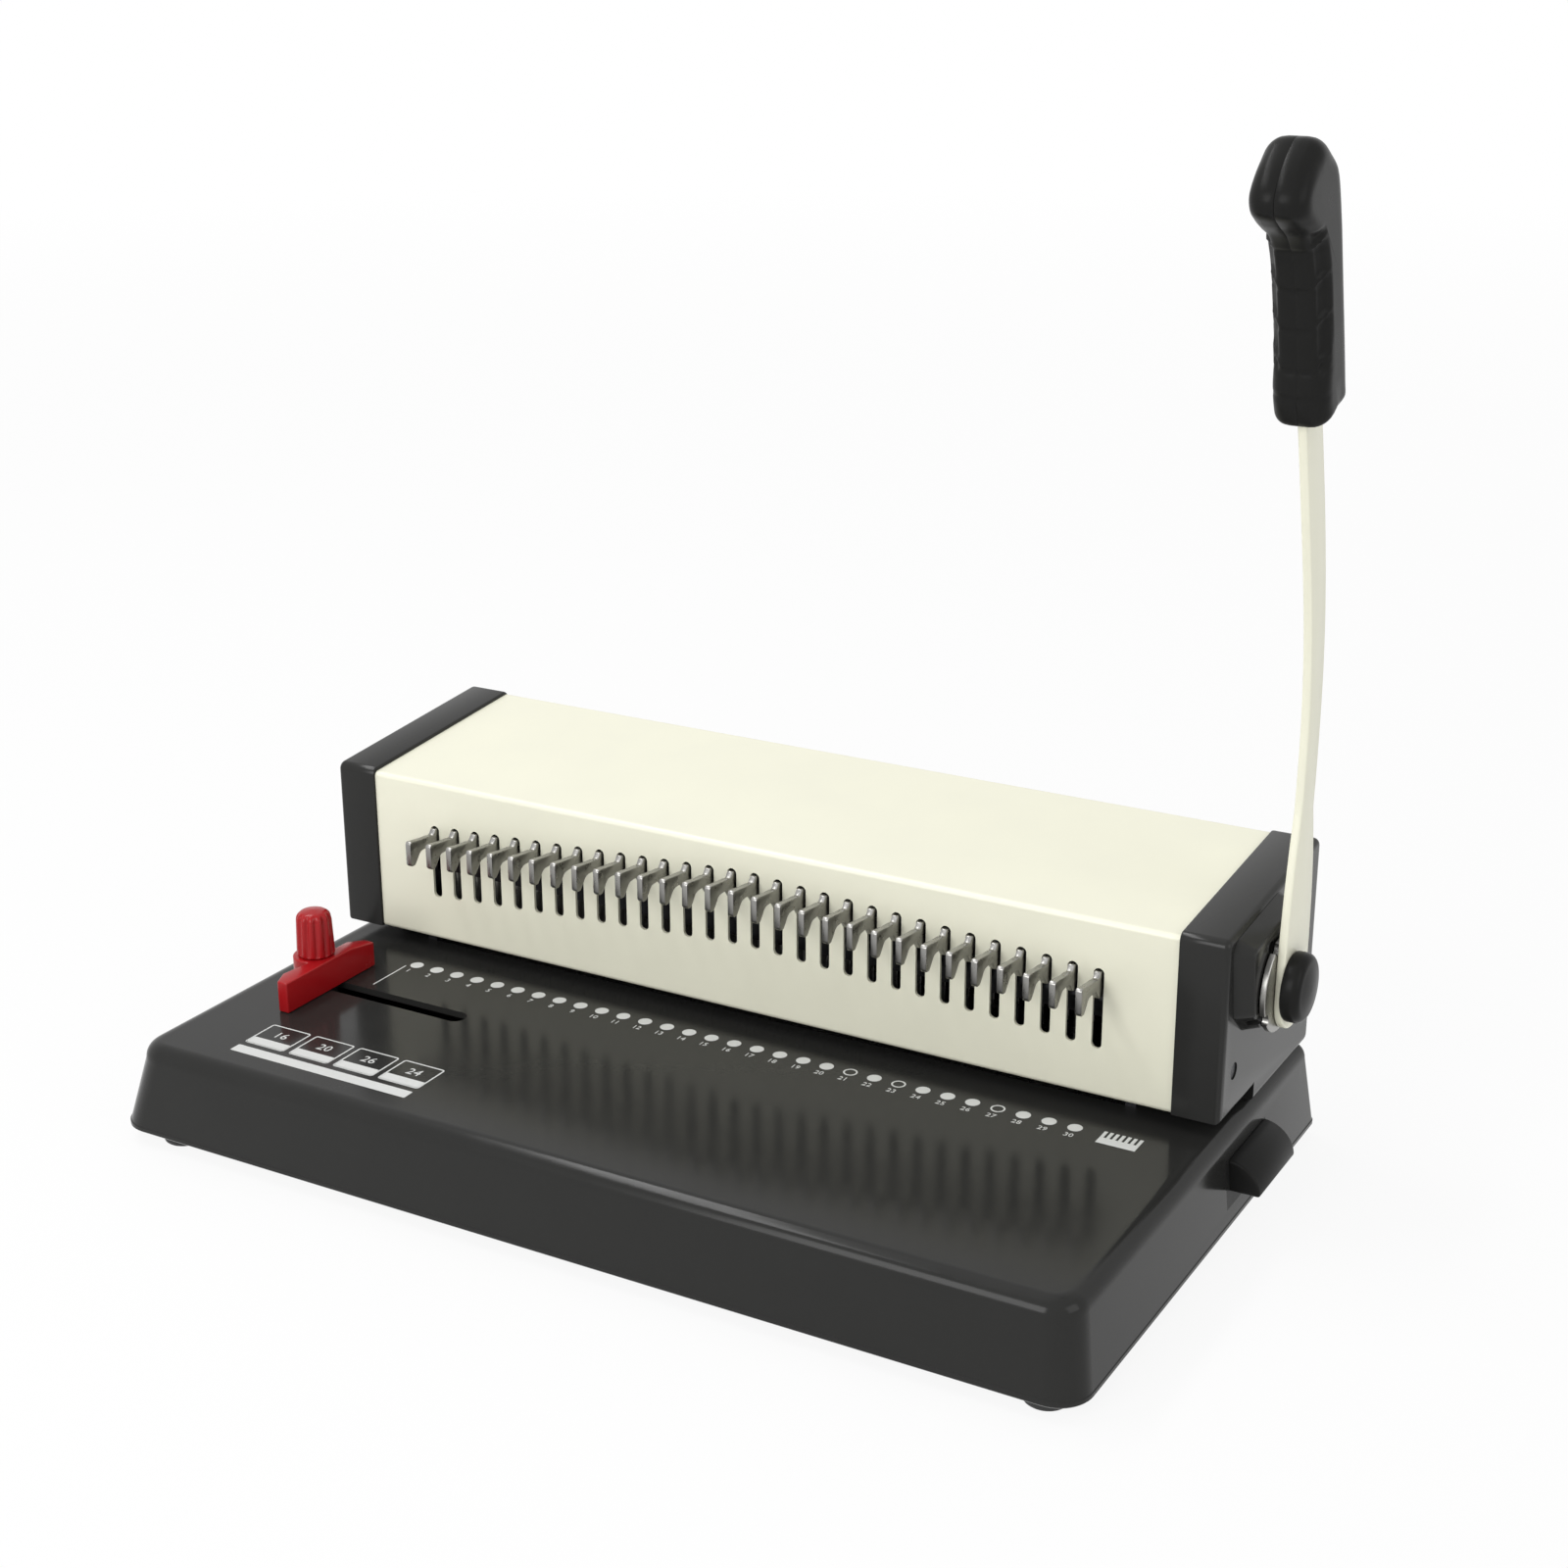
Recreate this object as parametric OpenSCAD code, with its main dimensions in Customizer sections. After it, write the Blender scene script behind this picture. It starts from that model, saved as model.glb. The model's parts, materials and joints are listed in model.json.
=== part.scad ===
// Lever hole punch for loose-leaf sheets, with a row of ring-opening hooks driven by the same lever.
// Units are millimetres and +Z is up. X runs along the row of holes and the operator sits at -Y.

/* [Row of holes] */
// Number of punch pins, hooks and slots
hole_count = 30; // [24:2:32]
// Distance from one hole to the next
hole_pitch = 9.5; // [9:0.25:10]
// Diameter of a punched hole
hole_d = 5.5; // [4.5:0.5:6]

/* [Base] */
// Height of the base's wall, without the feet
base_h = 34; // [32:1:40]
// Reach of the base in front of the cover
base_front = 122; // [112:1:136]
// Widening of the base's skirt at its lower left edge
flare_left = 9; // [6:0.5:10]
// Widening of the base's skirt at its lower right edge
flare_right = 3; // [2:0.5:5]
// Thickness of the base's wall
base_wall = 2.5; // [2:0.25:3]
// Height of a rubber foot
foot_h = 5; // [4:0.5:7]
// Diameter of a rubber foot
foot_d = 17; // [14:1:20]

/* [Head] */
// Height of the cover's front panel
panel_h = 64.6; // [64:0.2:70]
// Depth of the head from front to back
head_d = 89; // [86:1:98]
// Rise of the cover's top from front to back
top_rise = 7.4; // [5:0.1:9]
// Width of one end cap
cap_t = 17.5; // [16:0.5:20]
// Gap under the cover for the paper
throat = 5; // [5:0.25:6]
// Length of one slot in the front panel
slot_l = 29.5; // [29:0.25:31]
// Width of one slot
slot_w = 3.8; // [3.6:0.1:4.2]
// Drop of each slot below its neighbour, counted from the middle
slot_drop = 0.59; // [0.4:0.01:0.65]

/* [Lever] */
// Turn of the lever from rest to its end, in degrees
lever_turn = 70; // [60:1:70]
// Height of the grip's lower end above the shaft
arm_rise = 194; // [170:1:215]
// Width of the lever bar at the grip
arm_w = 15; // [14:0.5:17]
// Thickness of the lever bar
arm_t = 3; // [3:0.5:5]
// Width of the grip
grip_w = 18; // [16:0.5:22]

/* [Edge stop] */
// Length of the stop's guiding face
stop_l = 51; // [44:1:60]
// Height of the stop's body
stop_h = 12; // [10:0.5:15]
// Diameter of the knob
knob_d = 14.5; // [13:0.5:17]
// Height of the knob
knob_h = 18; // [16:1:24]
// Travel of the stop to the right
stop_travel = 60; // [40:1:70]

/* [Hidden] */

cream = [0.86, 0.85, 0.75];
black = [0.10, 0.10, 0.10];
steel = [0.72, 0.73, 0.75];
dark_steel = [0.20, 0.20, 0.21];
red = [0.63, 0.10, 0.11];
rubber = [0.07, 0.07, 0.07];

// Row of holes and widths
row_l = (hole_count - 1) * hole_pitch;
cover_x = row_l / 2 + 27.75;
cap_x = cover_x + cap_t;
base_left = cap_x + 2;
base_right = cap_x + 1;
base_back = head_d;
base_r = 12;
back_r = 5;
base_edge = 3;
flare_front = 2;
flare_back = 5;
rim_h = 2;
floor_t = 1.5;
floor_step = 1;
foot_x = cap_x - 11;
foot_front = 10;
foot_rear = 15;
foot_bore = 2;
foot_sink = 4;
foot_head_z = 0.8;
foot_head_t = 1.2;
cap_proud = 1.6;
cap_lead = 1;
cap_corner = 2;
cap_edge = 1.2;
cap_relief = 0.8;

// Heights
z_top = foot_h + base_h;
z_panel = z_top + throat;
z_edge = z_panel + panel_h;
sheet = 1.2;

// Punch line and plates
punch_y = 14;
plate_x = row_l / 2 + 12.25;
plate_y0 = 8;
plate_y1 = 43;
die_t = 5;
gap = 4.5;
z_guide = z_top + gap;
guide_t = 6.5;
pin_r = hole_d / 2 - 0.06;
pin_tip = z_guide + 1.5;
fine = 16;
snug = 0.02;
screw_r = 1.5;
screw_head = 2.8;
cut = 1;

// Shaft and drive: an involute lobe lifts a flat bar by its base radius for each radian
shaft_y = 27;
shaft_z = z_edge - 21.6;
shaft_r = 6;
punch_rate = 6.5;
lobe_drop = 9;
lobe_gap = 0.15;
lobe_x = row_l / 4;
gear_m = 1;
gear_n = 30;
gear_r = gear_m * gear_n / 2;
tooth_pitch = PI * gear_m;
punch_travel = punch_rate * lever_turn * PI / 180;
hook_travel = gear_r * lever_turn * PI / 180;
bar_top = shaft_z - lobe_drop;
retainer_t = 2;
bar_t = 6;
bar_low = bar_top - retainer_t - bar_t;
bar_x = plate_x - 6.5;
bar_y0 = plate_y0;
bar_y1 = plate_y1;
retainer_y = punch_y + 7;
retainer_y1 = bar_y1 - 10;
post_y = 38;
post_x = row_l * 0.42;
post_r = 3;
run = 0.05;

// Side plates and hook carrier
side_x = plate_x + 7;
side_t = 4;
carrier_y0 = 3;
carrier_y1 = 6;
carrier_x = side_x - 2;
hook_t = 2.4;
slot_top = z_edge - 8.7;
gear_x0 = plate_x - 3.5;
gear_x1 = plate_x + 1.5;

// Lever stack, outward along X
boss_x = cap_x + 6.6;
boss_under = 4.6;
boss_taper = 2.6;
hub_x = boss_x + 0.4;
hub_r = 16.5;
notch_r = 2.4;
arm_x = hub_x + 2;
arm_x1 = arm_x + arm_t;
knuckle_x = arm_x1 + 7.5;
mid_x = (arm_x + arm_x1) / 2;
lean = 17;

// Chip tray
tray_y0 = 3;
tray_y1 = 42;
tray_z0 = foot_h + 7;
tray_z1 = z_top - 10;
tray_x0 = -plate_x + 5;
tray_x1 = base_right - 4;
tray_wall = 1.5;
tray_gap = 0.5;
runner_gap = 0.4;
runner_t = 3.1;
runner_x = base_right - 8;
pull_y0 = tray_y0 + 3;
pull_y1 = tray_y1 - 0.5;
pull_z = tray_z0 + 5.5;
pull_r = 12;
pull_h = tray_z1 - pull_z;
pull_back = 3.6;
pull_wall = 2.6;
pull_hollow = 6.2;
pull_screw_z = tray_z0 + 12;
pull_screw_x = base_right + 3;

// Edge stop
stop_face = -row_l / 2 - 14.75;
stop_x = stop_face - 8;
stop_y = -47;
stop_shift = 2;
stop_fall = 2.5;
stop_gap = 0.15;
rail_w = 8.2;
rail_shift = 1;
shoe_w = 13;

// Shift that puts the origin under the middle of the whole object, on the table
x_low = -base_left - flare_left;
x_high = max(knuckle_x, mid_x + grip_w / 2);
y_low = -base_front - flare_front;
y_high = base_back + flare_back;
home = [-(x_low + x_high) / 2, -(y_low + y_high) / 2, 0];

function row_x(i) = (i - (hole_count - 1) / 2) * hole_pitch;
function slot_z(i) = slot_top - slot_drop * abs(i - (hole_count - 1) / 2);
function turn(p, a) = [p[0] * cos(a) - p[1] * sin(a), p[0] * sin(a) + p[1] * cos(a)];
function quarter(centre, r, start) = [for (k = [0:8])
  let (a = start + k * 11.25) centre + r * [cos(a), sin(a)]];
function bez(p, t) = pow(1 - t, 3) * p[0] + 3 * t * pow(1 - t, 2) * p[1]
  + 3 * t * t * (1 - t) * p[2] + pow(t, 3) * p[3];

module block(x0, x1, y0, y1, z0, z1) {
  translate([x0, y0, z0]) cube([x1 - x0, y1 - y0, z1 - z0]);
}

module rod_x(x0, x1, y, z, r, n = 32) {
  translate([x0, y, z]) rotate([0, 90, 0]) cylinder(r = r, h = x1 - x0, $fn = n);
}

module rod_y(x, y0, y1, z, r, n = 20) {
  translate([x, y0, z]) rotate([-90, 0, 0]) cylinder(r = r, h = y1 - y0, $fn = n);
}

module rod_z(x, y, z0, z1, r, n = 24) {
  translate([x, y, z0]) cylinder(r = r, h = z1 - z0, $fn = n);
}

// Draws a flat YZ outline and gives it a thickness along X
module slab_x(x0, x1) {
  translate([x0, 0, 0]) rotate([90, 0, 90]) linear_extrude(height = x1 - x0) children();
}

module both_ends() {
  children();
  mirror([1, 0, 0]) children();
}

// Base

// Plan of the base: skirt is 1 at its flared foot and 0 at its top, grow moves the whole edge outwards
module base_plan(grow, skirt) {
  x0 = -base_left - flare_left * skirt - grow;
  x1 = base_right + flare_right * skirt + grow;
  y0 = -base_front - flare_front * skirt - grow;
  y1 = base_back + flare_back * skirt + grow;
  rf = base_r + grow;
  rb = back_r + grow;
  polygon(concat(quarter([x0 + rf, y0 + rf], rf, 180), quarter([x1 - rf, y0 + rf], rf, 270),
    quarter([x1 - rb, y1 - rb], rb, 0), quarter([x0 + rb, y1 - rb], rb, 90)));
}

module base_layer(z, grow, skirt) {
  translate([0, 0, z]) linear_extrude(height = 0.01) base_plan(grow, skirt);
}

module base_solid() {
  hull() {
    base_layer(foot_h, 0, 1);
    base_layer(foot_h + rim_h, 0, 1);
    for (a = [0:15:90]) base_layer(z_top - base_edge * (1 - sin(a)) - 0.01, -base_edge * (1 - cos(a)), 0);
  }
}

module foot_places() {
  for (sx = [-1, 1])
    for (y = [-base_front + foot_front, base_back - foot_rear])
      translate([sx * foot_x, y, 0]) children();
}

module base_shell() {
  color(black) difference() {
    base_solid();
    translate([0, 0, foot_h - cut]) linear_extrude(height = floor_t + cut) base_plan(-base_wall, 1);
    hull() {
      base_layer(foot_h + floor_t - 0.01, -base_wall - floor_step, 1);
      base_layer(z_top - base_wall - 0.01, -base_wall - floor_step, 0);
    }
    block(-plate_x, plate_x, plate_y0, plate_y1, z_top - 8, z_top + cut);
    block(runner_x - 4, base_right + 10, tray_y0 - tray_gap, tray_y1 + tray_gap, tray_z0 - tray_gap,
      tray_z1 + tray_gap);
    translate([0, 0, z_top - 8]) linear_extrude(height = 12) stop_track(rail_w / 2);
  }
}

module stop_track(r) {
  y = stop_y + rail_shift;
  translate([stop_x - 4, y - r]) square([stop_travel + 8, 2 * r]);
  for (x = [stop_x - 4, stop_x + stop_travel + 4]) translate([x, y]) circle(r = r, $fn = 24);
}

module base_floor() {
  color(dark_steel) difference() {
    translate([0, 0, foot_h]) linear_extrude(height = floor_t) base_plan(-base_wall, 1);
    foot_places() cylinder(r = foot_bore, h = z_top, $fn = fine);
  }
}

module rubber_feet() {
  color(rubber) foot_places() difference() {
    cylinder(r1 = foot_d / 2 - 1, r2 = foot_d / 2, h = foot_h, $fn = 32);
    translate([0, 0, -cut]) cylinder(r = foot_sink, h = foot_head_z + foot_head_t + cut, $fn = fine);
    cylinder(r = foot_bore, h = foot_h + cut, $fn = fine);
  }
}

module foot_screws() {
  color(steel) foot_places() {
    translate([0, 0, foot_head_z]) cylinder(r = foot_sink - 0.4, h = foot_head_t, $fn = fine);
    translate([0, 0, foot_head_z + foot_head_t]) cylinder(r = foot_bore, h = foot_h + floor_t, $fn = fine);
  }
}

// Chip tray

module tray_runners() {
  z0 = foot_h + floor_t;
  y0 = tray_y0 - runner_gap - runner_t;
  y1 = tray_y1 + runner_gap + runner_t;
  color(dark_steel) {
    block(tray_x0, runner_x, y0, y0 + runner_t, z0, tray_z0 + 8);
    block(tray_x0, runner_x, y0, tray_y0 + 4, z0, tray_z0 - runner_gap);
    block(tray_x0, runner_x, y1 - runner_t, y1, z0, tray_z0 + 8);
    block(tray_x0, runner_x, tray_y1 - 4, y1, z0, tray_z0 - runner_gap);
  }
}

// The tray's outer end is flush with the base's leaning wall
module chip_tray() {
  color(black) difference() {
    intersection() {
      block(tray_x0, base_right + 10, tray_y0, tray_y1, tray_z0, tray_z1);
      base_solid();
    }
    block(tray_x0 + tray_wall, tray_x1, tray_y0 + tray_wall, tray_y1 - tray_wall, tray_z0 + tray_wall,
      tray_z1 + cut);
    for (y = pull_screw_y()) rod_x(tray_x1 - cut, base_right + 10, y, pull_screw_z, screw_r, fine);
  }
}

function pull_screw_y() = [pull_y0 + 7, pull_y1 - 7];

module quarter_round(r, h) {
  intersection() {
    scale([1, h / r]) circle(r = r, $fn = 48);
    square([r, h]);
  }
}

// Quarter-round pull, hollow below for the fingertips
module tray_pull() {
  color(black) difference() {
    translate([base_right, pull_y1, pull_z]) rotate([90, 0, 0])
      linear_extrude(height = pull_y1 - pull_y0) quarter_round(pull_r, pull_h);
    base_solid();
    translate([base_right + pull_back, pull_y1 - pull_wall, pull_z - 0.01]) rotate([90, 0, 0])
      linear_extrude(height = pull_y1 - pull_y0 - 2 * pull_wall) quarter_round(pull_hollow, pull_hollow * 1.22);
    for (y = pull_screw_y()) rod_x(tray_x1, pull_screw_x, y, pull_screw_z, screw_r, fine);
  }
}

module pull_screws() {
  color(steel) for (y = pull_screw_y()) {
    rod_x(tray_x1, pull_screw_x, y, pull_screw_z, screw_r, fine);
    rod_x(tray_x1 - 1.5, tray_x1, y, pull_screw_z, screw_head, fine);
  }
}

// Head frame

module row_holes(r, z0, z1) {
  for (i = [0:hole_count - 1]) rod_z(row_x(i), punch_y, z0, z1, r, fine);
}

module die_plate() {
  color(steel) difference() {
    block(-plate_x, plate_x, plate_y0, plate_y1, z_top - die_t, z_top);
    row_holes(hole_d / 2, z_top - die_t - 1, z_top + 1);
  }
}

module throat_spacers() {
  color(dark_steel) both_ends() block(plate_x - 4, plate_x, plate_y0, plate_y1, z_top, z_guide);
}

module paper_fence() {
  color(dark_steel) block(-plate_x + 4, plate_x - 4, punch_y + 8, punch_y + 12, z_top, z_guide);
}

module guide_plate() {
  color(steel) difference() {
    block(-plate_x, plate_x, plate_y0, plate_y1, z_guide, z_guide + guide_t);
    row_holes(hole_d / 2, z_guide - 1, z_guide + guide_t + 1);
    for (s = [-1, 1]) rod_z(s * post_x, post_y, z_guide - cut, z_guide + guide_t + cut, post_r + snug);
  }
}

module guide_posts() {
  color(steel) for (s = [-1, 1]) rod_z(s * post_x, post_y, z_guide, bar_top + 5, post_r);
}

module side_plate() {
  difference() {
    slab_x(side_x, side_x + side_t) polygon([[carrier_y0 - 1.6, z_top + 6], [carrier_y0 - 1.6, z_edge - 4],
      [head_d - 2 * sheet, z_edge - 4], [head_d - 2 * sheet, z_top + 1], [head_d - 8, z_top], [34, z_top],
      [32, z_top + 6]]);
    rod_x(side_x - 1, side_x + side_t + 1, shaft_y, shaft_z, 9);
    for (p = cap_screw_places()) rod_x(side_x - cut, side_x + side_t + cut, p[0], p[1], screw_r, fine);
  }
}

module side_plate_right() {
  color(dark_steel) side_plate();
}

module side_plate_left() {
  color(dark_steel) mirror([1, 0, 0]) side_plate();
}

module shaft_bushes() {
  color([0.70, 0.52, 0.25]) both_ends() difference() {
    union() {
      rod_x(side_x - 1, side_x + side_t, shaft_y, shaft_z, 9);
      rod_x(side_x + side_t, side_x + side_t + 2, shaft_y, shaft_z, 11);
    }
    rod_x(side_x - 2, side_x + side_t + 3, shaft_y, shaft_z, shaft_r + run);
  }
}

module hook_guides() {
  color(dark_steel) both_ends() difference() {
    block(carrier_x - 2.5, side_x, carrier_y0 - 1.6, carrier_y1 + 2, z_guide + guide_t + 3, z_edge - 4);
    block(carrier_x - 5, carrier_x + 0.3, carrier_y0 - 0.2, carrier_y1 + 0.2, z_guide, z_edge);
  }
}

// Head covers

module head_outline() {
  offset(r = 2, $fn = 32) offset(delta = -2)
    polygon([[0, z_panel], [0, z_edge], [head_d, z_edge + top_rise], [head_d, z_panel]]);
}

module sheet_outline() {
  difference() {
    head_outline();
    for (m = [[0, 0], [0, -panel_h / 2], [9, 0], [9, -panel_h / 2]])
      translate(m) offset(delta = -sheet) head_outline();
    translate([-1, z_panel - 1]) square([head_d + 2, 1.01]);
    translate([head_d / 2, z_panel - 1]) square([head_d, panel_h - 6]);
  }
}

module slot_outline() {
  r = slot_w / 2;
  translate([-r, -slot_l + r]) square([2 * r, slot_l - 2 * r]);
  for (z = [-r, r - slot_l]) translate([0, z]) circle(r = r, $fn = 20);
}

module cover_sheet() {
  color(cream) difference() {
    slab_x(-cover_x, cover_x) sheet_outline();
    for (i = [0:hole_count - 1])
      translate([row_x(i), sheet + 2, slot_z(i)]) rotate([90, 0, 0])
        linear_extrude(height = sheet + 4) slot_outline();
  }
}

module rear_sheet() {
  color(black) block(-cover_x, cover_x, head_d - 2 * sheet, head_d - sheet, z_top + 2, z_edge + top_rise - 3);
}

function cap_screw_places() = [[10, z_panel + 16], [head_d - 14, z_panel + 16]];

module cap_outline(e) {
  offset(r = cap_corner - e, $fn = 32) offset(delta = -cap_corner)
    polygon([[-cap_lead, z_top], [-cap_lead, z_edge + cap_proud], [head_d, z_edge + cap_proud + top_rise],
      [head_d, z_top]]);
}

module cap_body() {
  difference() {
    hull() {
      slab_x(cover_x, cover_x + cap_relief) cap_outline(cap_relief);
      slab_x(cover_x + cap_relief, cap_x - cap_edge) cap_outline(0);
      for (a = [30:30:90])
        slab_x(cap_x - cap_edge, cap_x - cap_edge * (1 - sin(a))) cap_outline(cap_edge * (1 - cos(a)));
    }
    block(cover_x - 1, cap_x + 20, -10, 32, z_top - 1, z_panel + 0.3);
    difference() {
      block(cover_x - 1, cap_x - 3, 3, head_d - 4, z_panel + 4, z_edge - 4);
      for (p = cap_screw_places()) rod_x(cover_x - 2, cap_x, p[0], p[1], 4.5, 24);
    }
    for (p = cap_screw_places()) {
      rod_x(cover_x - cut, cap_x + cut, p[0], p[1], screw_r, fine);
      rod_x(cap_x - 2, cap_x + 1, p[0], p[1], 3.2, fine);
    }
  }
  for (p = cap_screw_places()) difference() {
    rod_x(side_x + side_t, cover_x + 1, p[0], p[1], 4.5, 24);
    rod_x(side_x + side_t - cut, cover_x + 2, p[0], p[1], screw_r, fine);
  }
}

module end_cap_left() {
  color(black) mirror([1, 0, 0]) cap_body();
}

// Raised housing round the shaft on the right cap, its top level with the cap's slope
function boss_top(y) = z_edge + cap_proud + top_rise * y / head_d - boss_under;

module boss_outline() {
  y0 = shaft_y - 22.5;
  y1 = shaft_y + 20;
  offset(r = 3, $fn = 32) offset(delta = -3)
    polygon([[y0, boss_top(y0)], [y0 + 4, shaft_z - 5], [shaft_y - 10, shaft_z - 12.5],
      [shaft_y + 11, shaft_z - 12.5], [y1, shaft_z - 5], [y1, boss_top(y1)]]);
}

module at_notches() {
  for (a = [114, 210]) translate([0, shaft_y + hub_r * cos(a), shaft_z + hub_r * sin(a)]) children();
}

module end_cap_right() {
  color(black) difference() {
    union() {
      cap_body();
      hull() {
        slab_x(cap_x - 1, cap_x + 0.5) offset(delta = boss_taper) boss_outline();
        slab_x(boss_x - 0.01, boss_x) boss_outline();
      }
    }
    rod_x(cover_x - 1, boss_x + 1, shaft_y, shaft_z, shaft_r + 0.5);
    at_notches() rod_x(boss_x - 4, boss_x + cut, 0, 0, notch_r, fine);
  }
}

module cap_screws() {
  color(dark_steel) both_ends() for (p = cap_screw_places()) {
    rod_x(side_x, cap_x - 2, p[0], p[1], screw_r, fine);
    rod_x(cap_x - 2, cap_x - 0.5, p[0], p[1], 3, fine);
  }
}

// Lever set

module main_shaft() {
  color(steel) rod_x(-side_x - side_t - 3, arm_x1 + 3.5, shaft_y, shaft_z, shaft_r, 48);
}

// Outline of the lobe about the shaft: each point is where the flat bar touches it at one lever angle
module lobe_outline() {
  a0 = -lobe_drop / punch_rate * 180 / PI;
  steps = 24;
  difference() {
    union() {
      polygon(concat([[0, 0]], [for (k = [0:steps])
        let (a = a0 + (lever_turn + 4 - a0) * k / steps)
        turn([-punch_rate, -(lobe_drop - lobe_gap + punch_rate * a * PI / 180)], -a)]));
      circle(r = lobe_drop - 0.6, $fn = 32);
    }
    circle(r = shaft_r, $fn = 48);
  }
}

module punch_cams() {
  color(dark_steel) both_ends() {
    translate([0, shaft_y, shaft_z]) slab_x(lobe_x - 5, lobe_x + 5) lobe_outline();
    difference() {
      rod_x(lobe_x + 5, lobe_x + 13, shaft_y, shaft_z, lobe_drop - 0.6);
      rod_x(lobe_x + 4, lobe_x + 14, shaft_y, shaft_z, shaft_r, 48);
      rod_z(lobe_x + 9, shaft_y, shaft_z, shaft_z + 2 * lobe_drop, screw_r, fine);
    }
  }
}

module gear_outline() {
  difference() {
    union() {
      circle(r = gear_r - 1.25 * gear_m, $fn = 60);
      for (k = [0:gear_n - 1]) rotate(180 + k * 360 / gear_n)
        polygon([[gear_r - 2, -0.85], [gear_r, -0.5], [gear_r + 0.9, -0.25], [gear_r + 0.9, 0.25],
          [gear_r, 0.5], [gear_r - 2, 0.85]] * gear_m);
    }
    circle(r = shaft_r, $fn = 48);
  }
}

module hook_pinions() {
  color(dark_steel) both_ends() {
    translate([0, shaft_y, shaft_z]) slab_x(gear_x0, gear_x1) gear_outline();
    difference() {
      rod_x(gear_x0 - 8, gear_x0, shaft_y, shaft_z, lobe_drop - 0.6);
      rod_x(gear_x0 - 9, gear_x0 + 1, shaft_y, shaft_z, shaft_r, 48);
      rod_z(gear_x0 - 4, shaft_y, shaft_z, shaft_z + 2 * lobe_drop, screw_r, fine);
    }
  }
}

module set_screws() {
  color(steel) both_ends() for (x = [lobe_x + 9, gear_x0 - 4])
    rod_z(x, shaft_y, shaft_z + shaft_r, shaft_z + lobe_drop - 0.7, screw_r, fine);
}

module lever_hub() {
  color(steel) difference() {
    rod_x(hub_x, arm_x, shaft_y, shaft_z, hub_r, 64);
    rod_x(hub_x - cut, arm_x + cut, shaft_y, shaft_z, shaft_r, 48);
    at_notches() rod_x(hub_x - cut, arm_x + cut, 0, 0, notch_r, fine);
  }
}

// Middle line of the bar's upper part, from its waist to the grip, in the YZ plane
arm_end = [shaft_y - 15.5, shaft_z + arm_rise];
arm_way = [-sin(lean), cos(lean)];
arm_pts = [[shaft_y + 5.6, shaft_z + arm_rise * 0.31], [shaft_y + 9, shaft_z + arm_rise * 0.58],
  arm_end - arm_rise * 0.32 * arm_way, arm_end];
arm_waist = 12;
arm_tang = 58;
arm_eye = [shaft_y + 4.5, shaft_z - 4.5];
eye_r = 12.2;
plate_top = shaft_z + 37;

function arm_half(t) = (arm_waist + (arm_w - arm_waist) * min(1, max(0, (t - 0.2) / 0.6))) / 2;
function arm_way_at(t) = let (d = bez(arm_pts, t + 0.01) - bez(arm_pts, t - 0.01)) d / norm(d);
function arm_edge(t, side) = let (w = arm_way_at(t)) bez(arm_pts, t) + side * arm_half(t) * [w[1], -w[0]];

// Wide plate with the shaft's eye, then a waist, then a curved bar up into the grip
module arm_outline() {
  steps = 24;
  side = arm_w / 2 * [cos(lean), sin(lean)];
  tip = arm_end + arm_tang * arm_way;
  translate(arm_eye) circle(r = eye_r, $fn = 64);
  offset(r = -8, $fn = 48) offset(r = 8, $fn = 48)
    polygon(concat([for (k = [0:steps]) arm_edge(k / steps, 1)], [tip + side, tip - side],
      [for (k = [steps:-1:0]) arm_edge(k / steps, -1)],
      [[arm_eye[0] - 9.5, plate_top], arm_eye - [eye_r, 0], arm_eye + [eye_r, 0],
        [arm_eye[0] + 12, plate_top]]));
}

module lever_arm() {
  color(cream) difference() {
    slab_x(arm_x, arm_x1) arm_outline();
    rod_x(arm_x - 1, arm_x1 + 1, shaft_y, shaft_z, shaft_r, 48);
    for (p = rivet_places()) rod_x(arm_x - 1, arm_x1 + 1, p[0], p[1], 2, fine);
  }
}

function rivet_places() = [arm_end + 14 * arm_way, arm_end + 44 * arm_way];

// Side view of the grip about the bar's end: u along the bar, v to the front
function grip_at(u, v) = arm_end + u * arm_way + v * [-cos(lean), -sin(lean)];

module grip_outline() {
  offset(r = 4, $fn = 24) offset(delta = -4) offset(r = -3, $fn = 24) offset(delta = 3)
    polygon([grip_at(2.5, 11), grip_at(12, 11.6), grip_at(19, 10), grip_at(32, 9.6), grip_at(44, 9.3),
      grip_at(56, 10.6), grip_at(63, 14), grip_at(69, 20.5), grip_at(73.5, 24), grip_at(78, 23.6),
      grip_at(84.5, 17), grip_at(88, 9.5), grip_at(89.3, 4), grip_at(87.5, -1), grip_at(83, -5.5),
      grip_at(75.5, -11), grip_at(66, -12.5), grip_at(36, -12.6), grip_at(10, -12), grip_at(0.5, -11)]);
}

module grip_half() {
  difference() {
    union() {
      slab_x(mid_x, mid_x + grip_w / 2 - 3) grip_outline();
      for (k = [0:3]) slab_x(mid_x, mid_x + grip_w / 2 - 3 + 3 * sin((k + 1) * 22.5))
        offset(delta = -3 * (1 - cos((k + 1) * 22.5))) grip_outline();
    }
    slab_x(mid_x - 1, arm_x1) arm_outline();
    for (p = rivet_places()) rod_x(mid_x - 1, mid_x + grip_w, p[0], p[1], 2, fine);
  }
}

module grip_right() {
  color(black) grip_half();
}

module grip_left() {
  color(black) translate([2 * mid_x, 0, 0]) mirror([1, 0, 0]) grip_half();
}

module grip_rivets() {
  color(dark_steel) for (p = rivet_places())
    rod_x(mid_x - grip_w / 2 + 0.4, mid_x + grip_w / 2 - 0.4, p[0], p[1], 2, fine);
}

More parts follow.
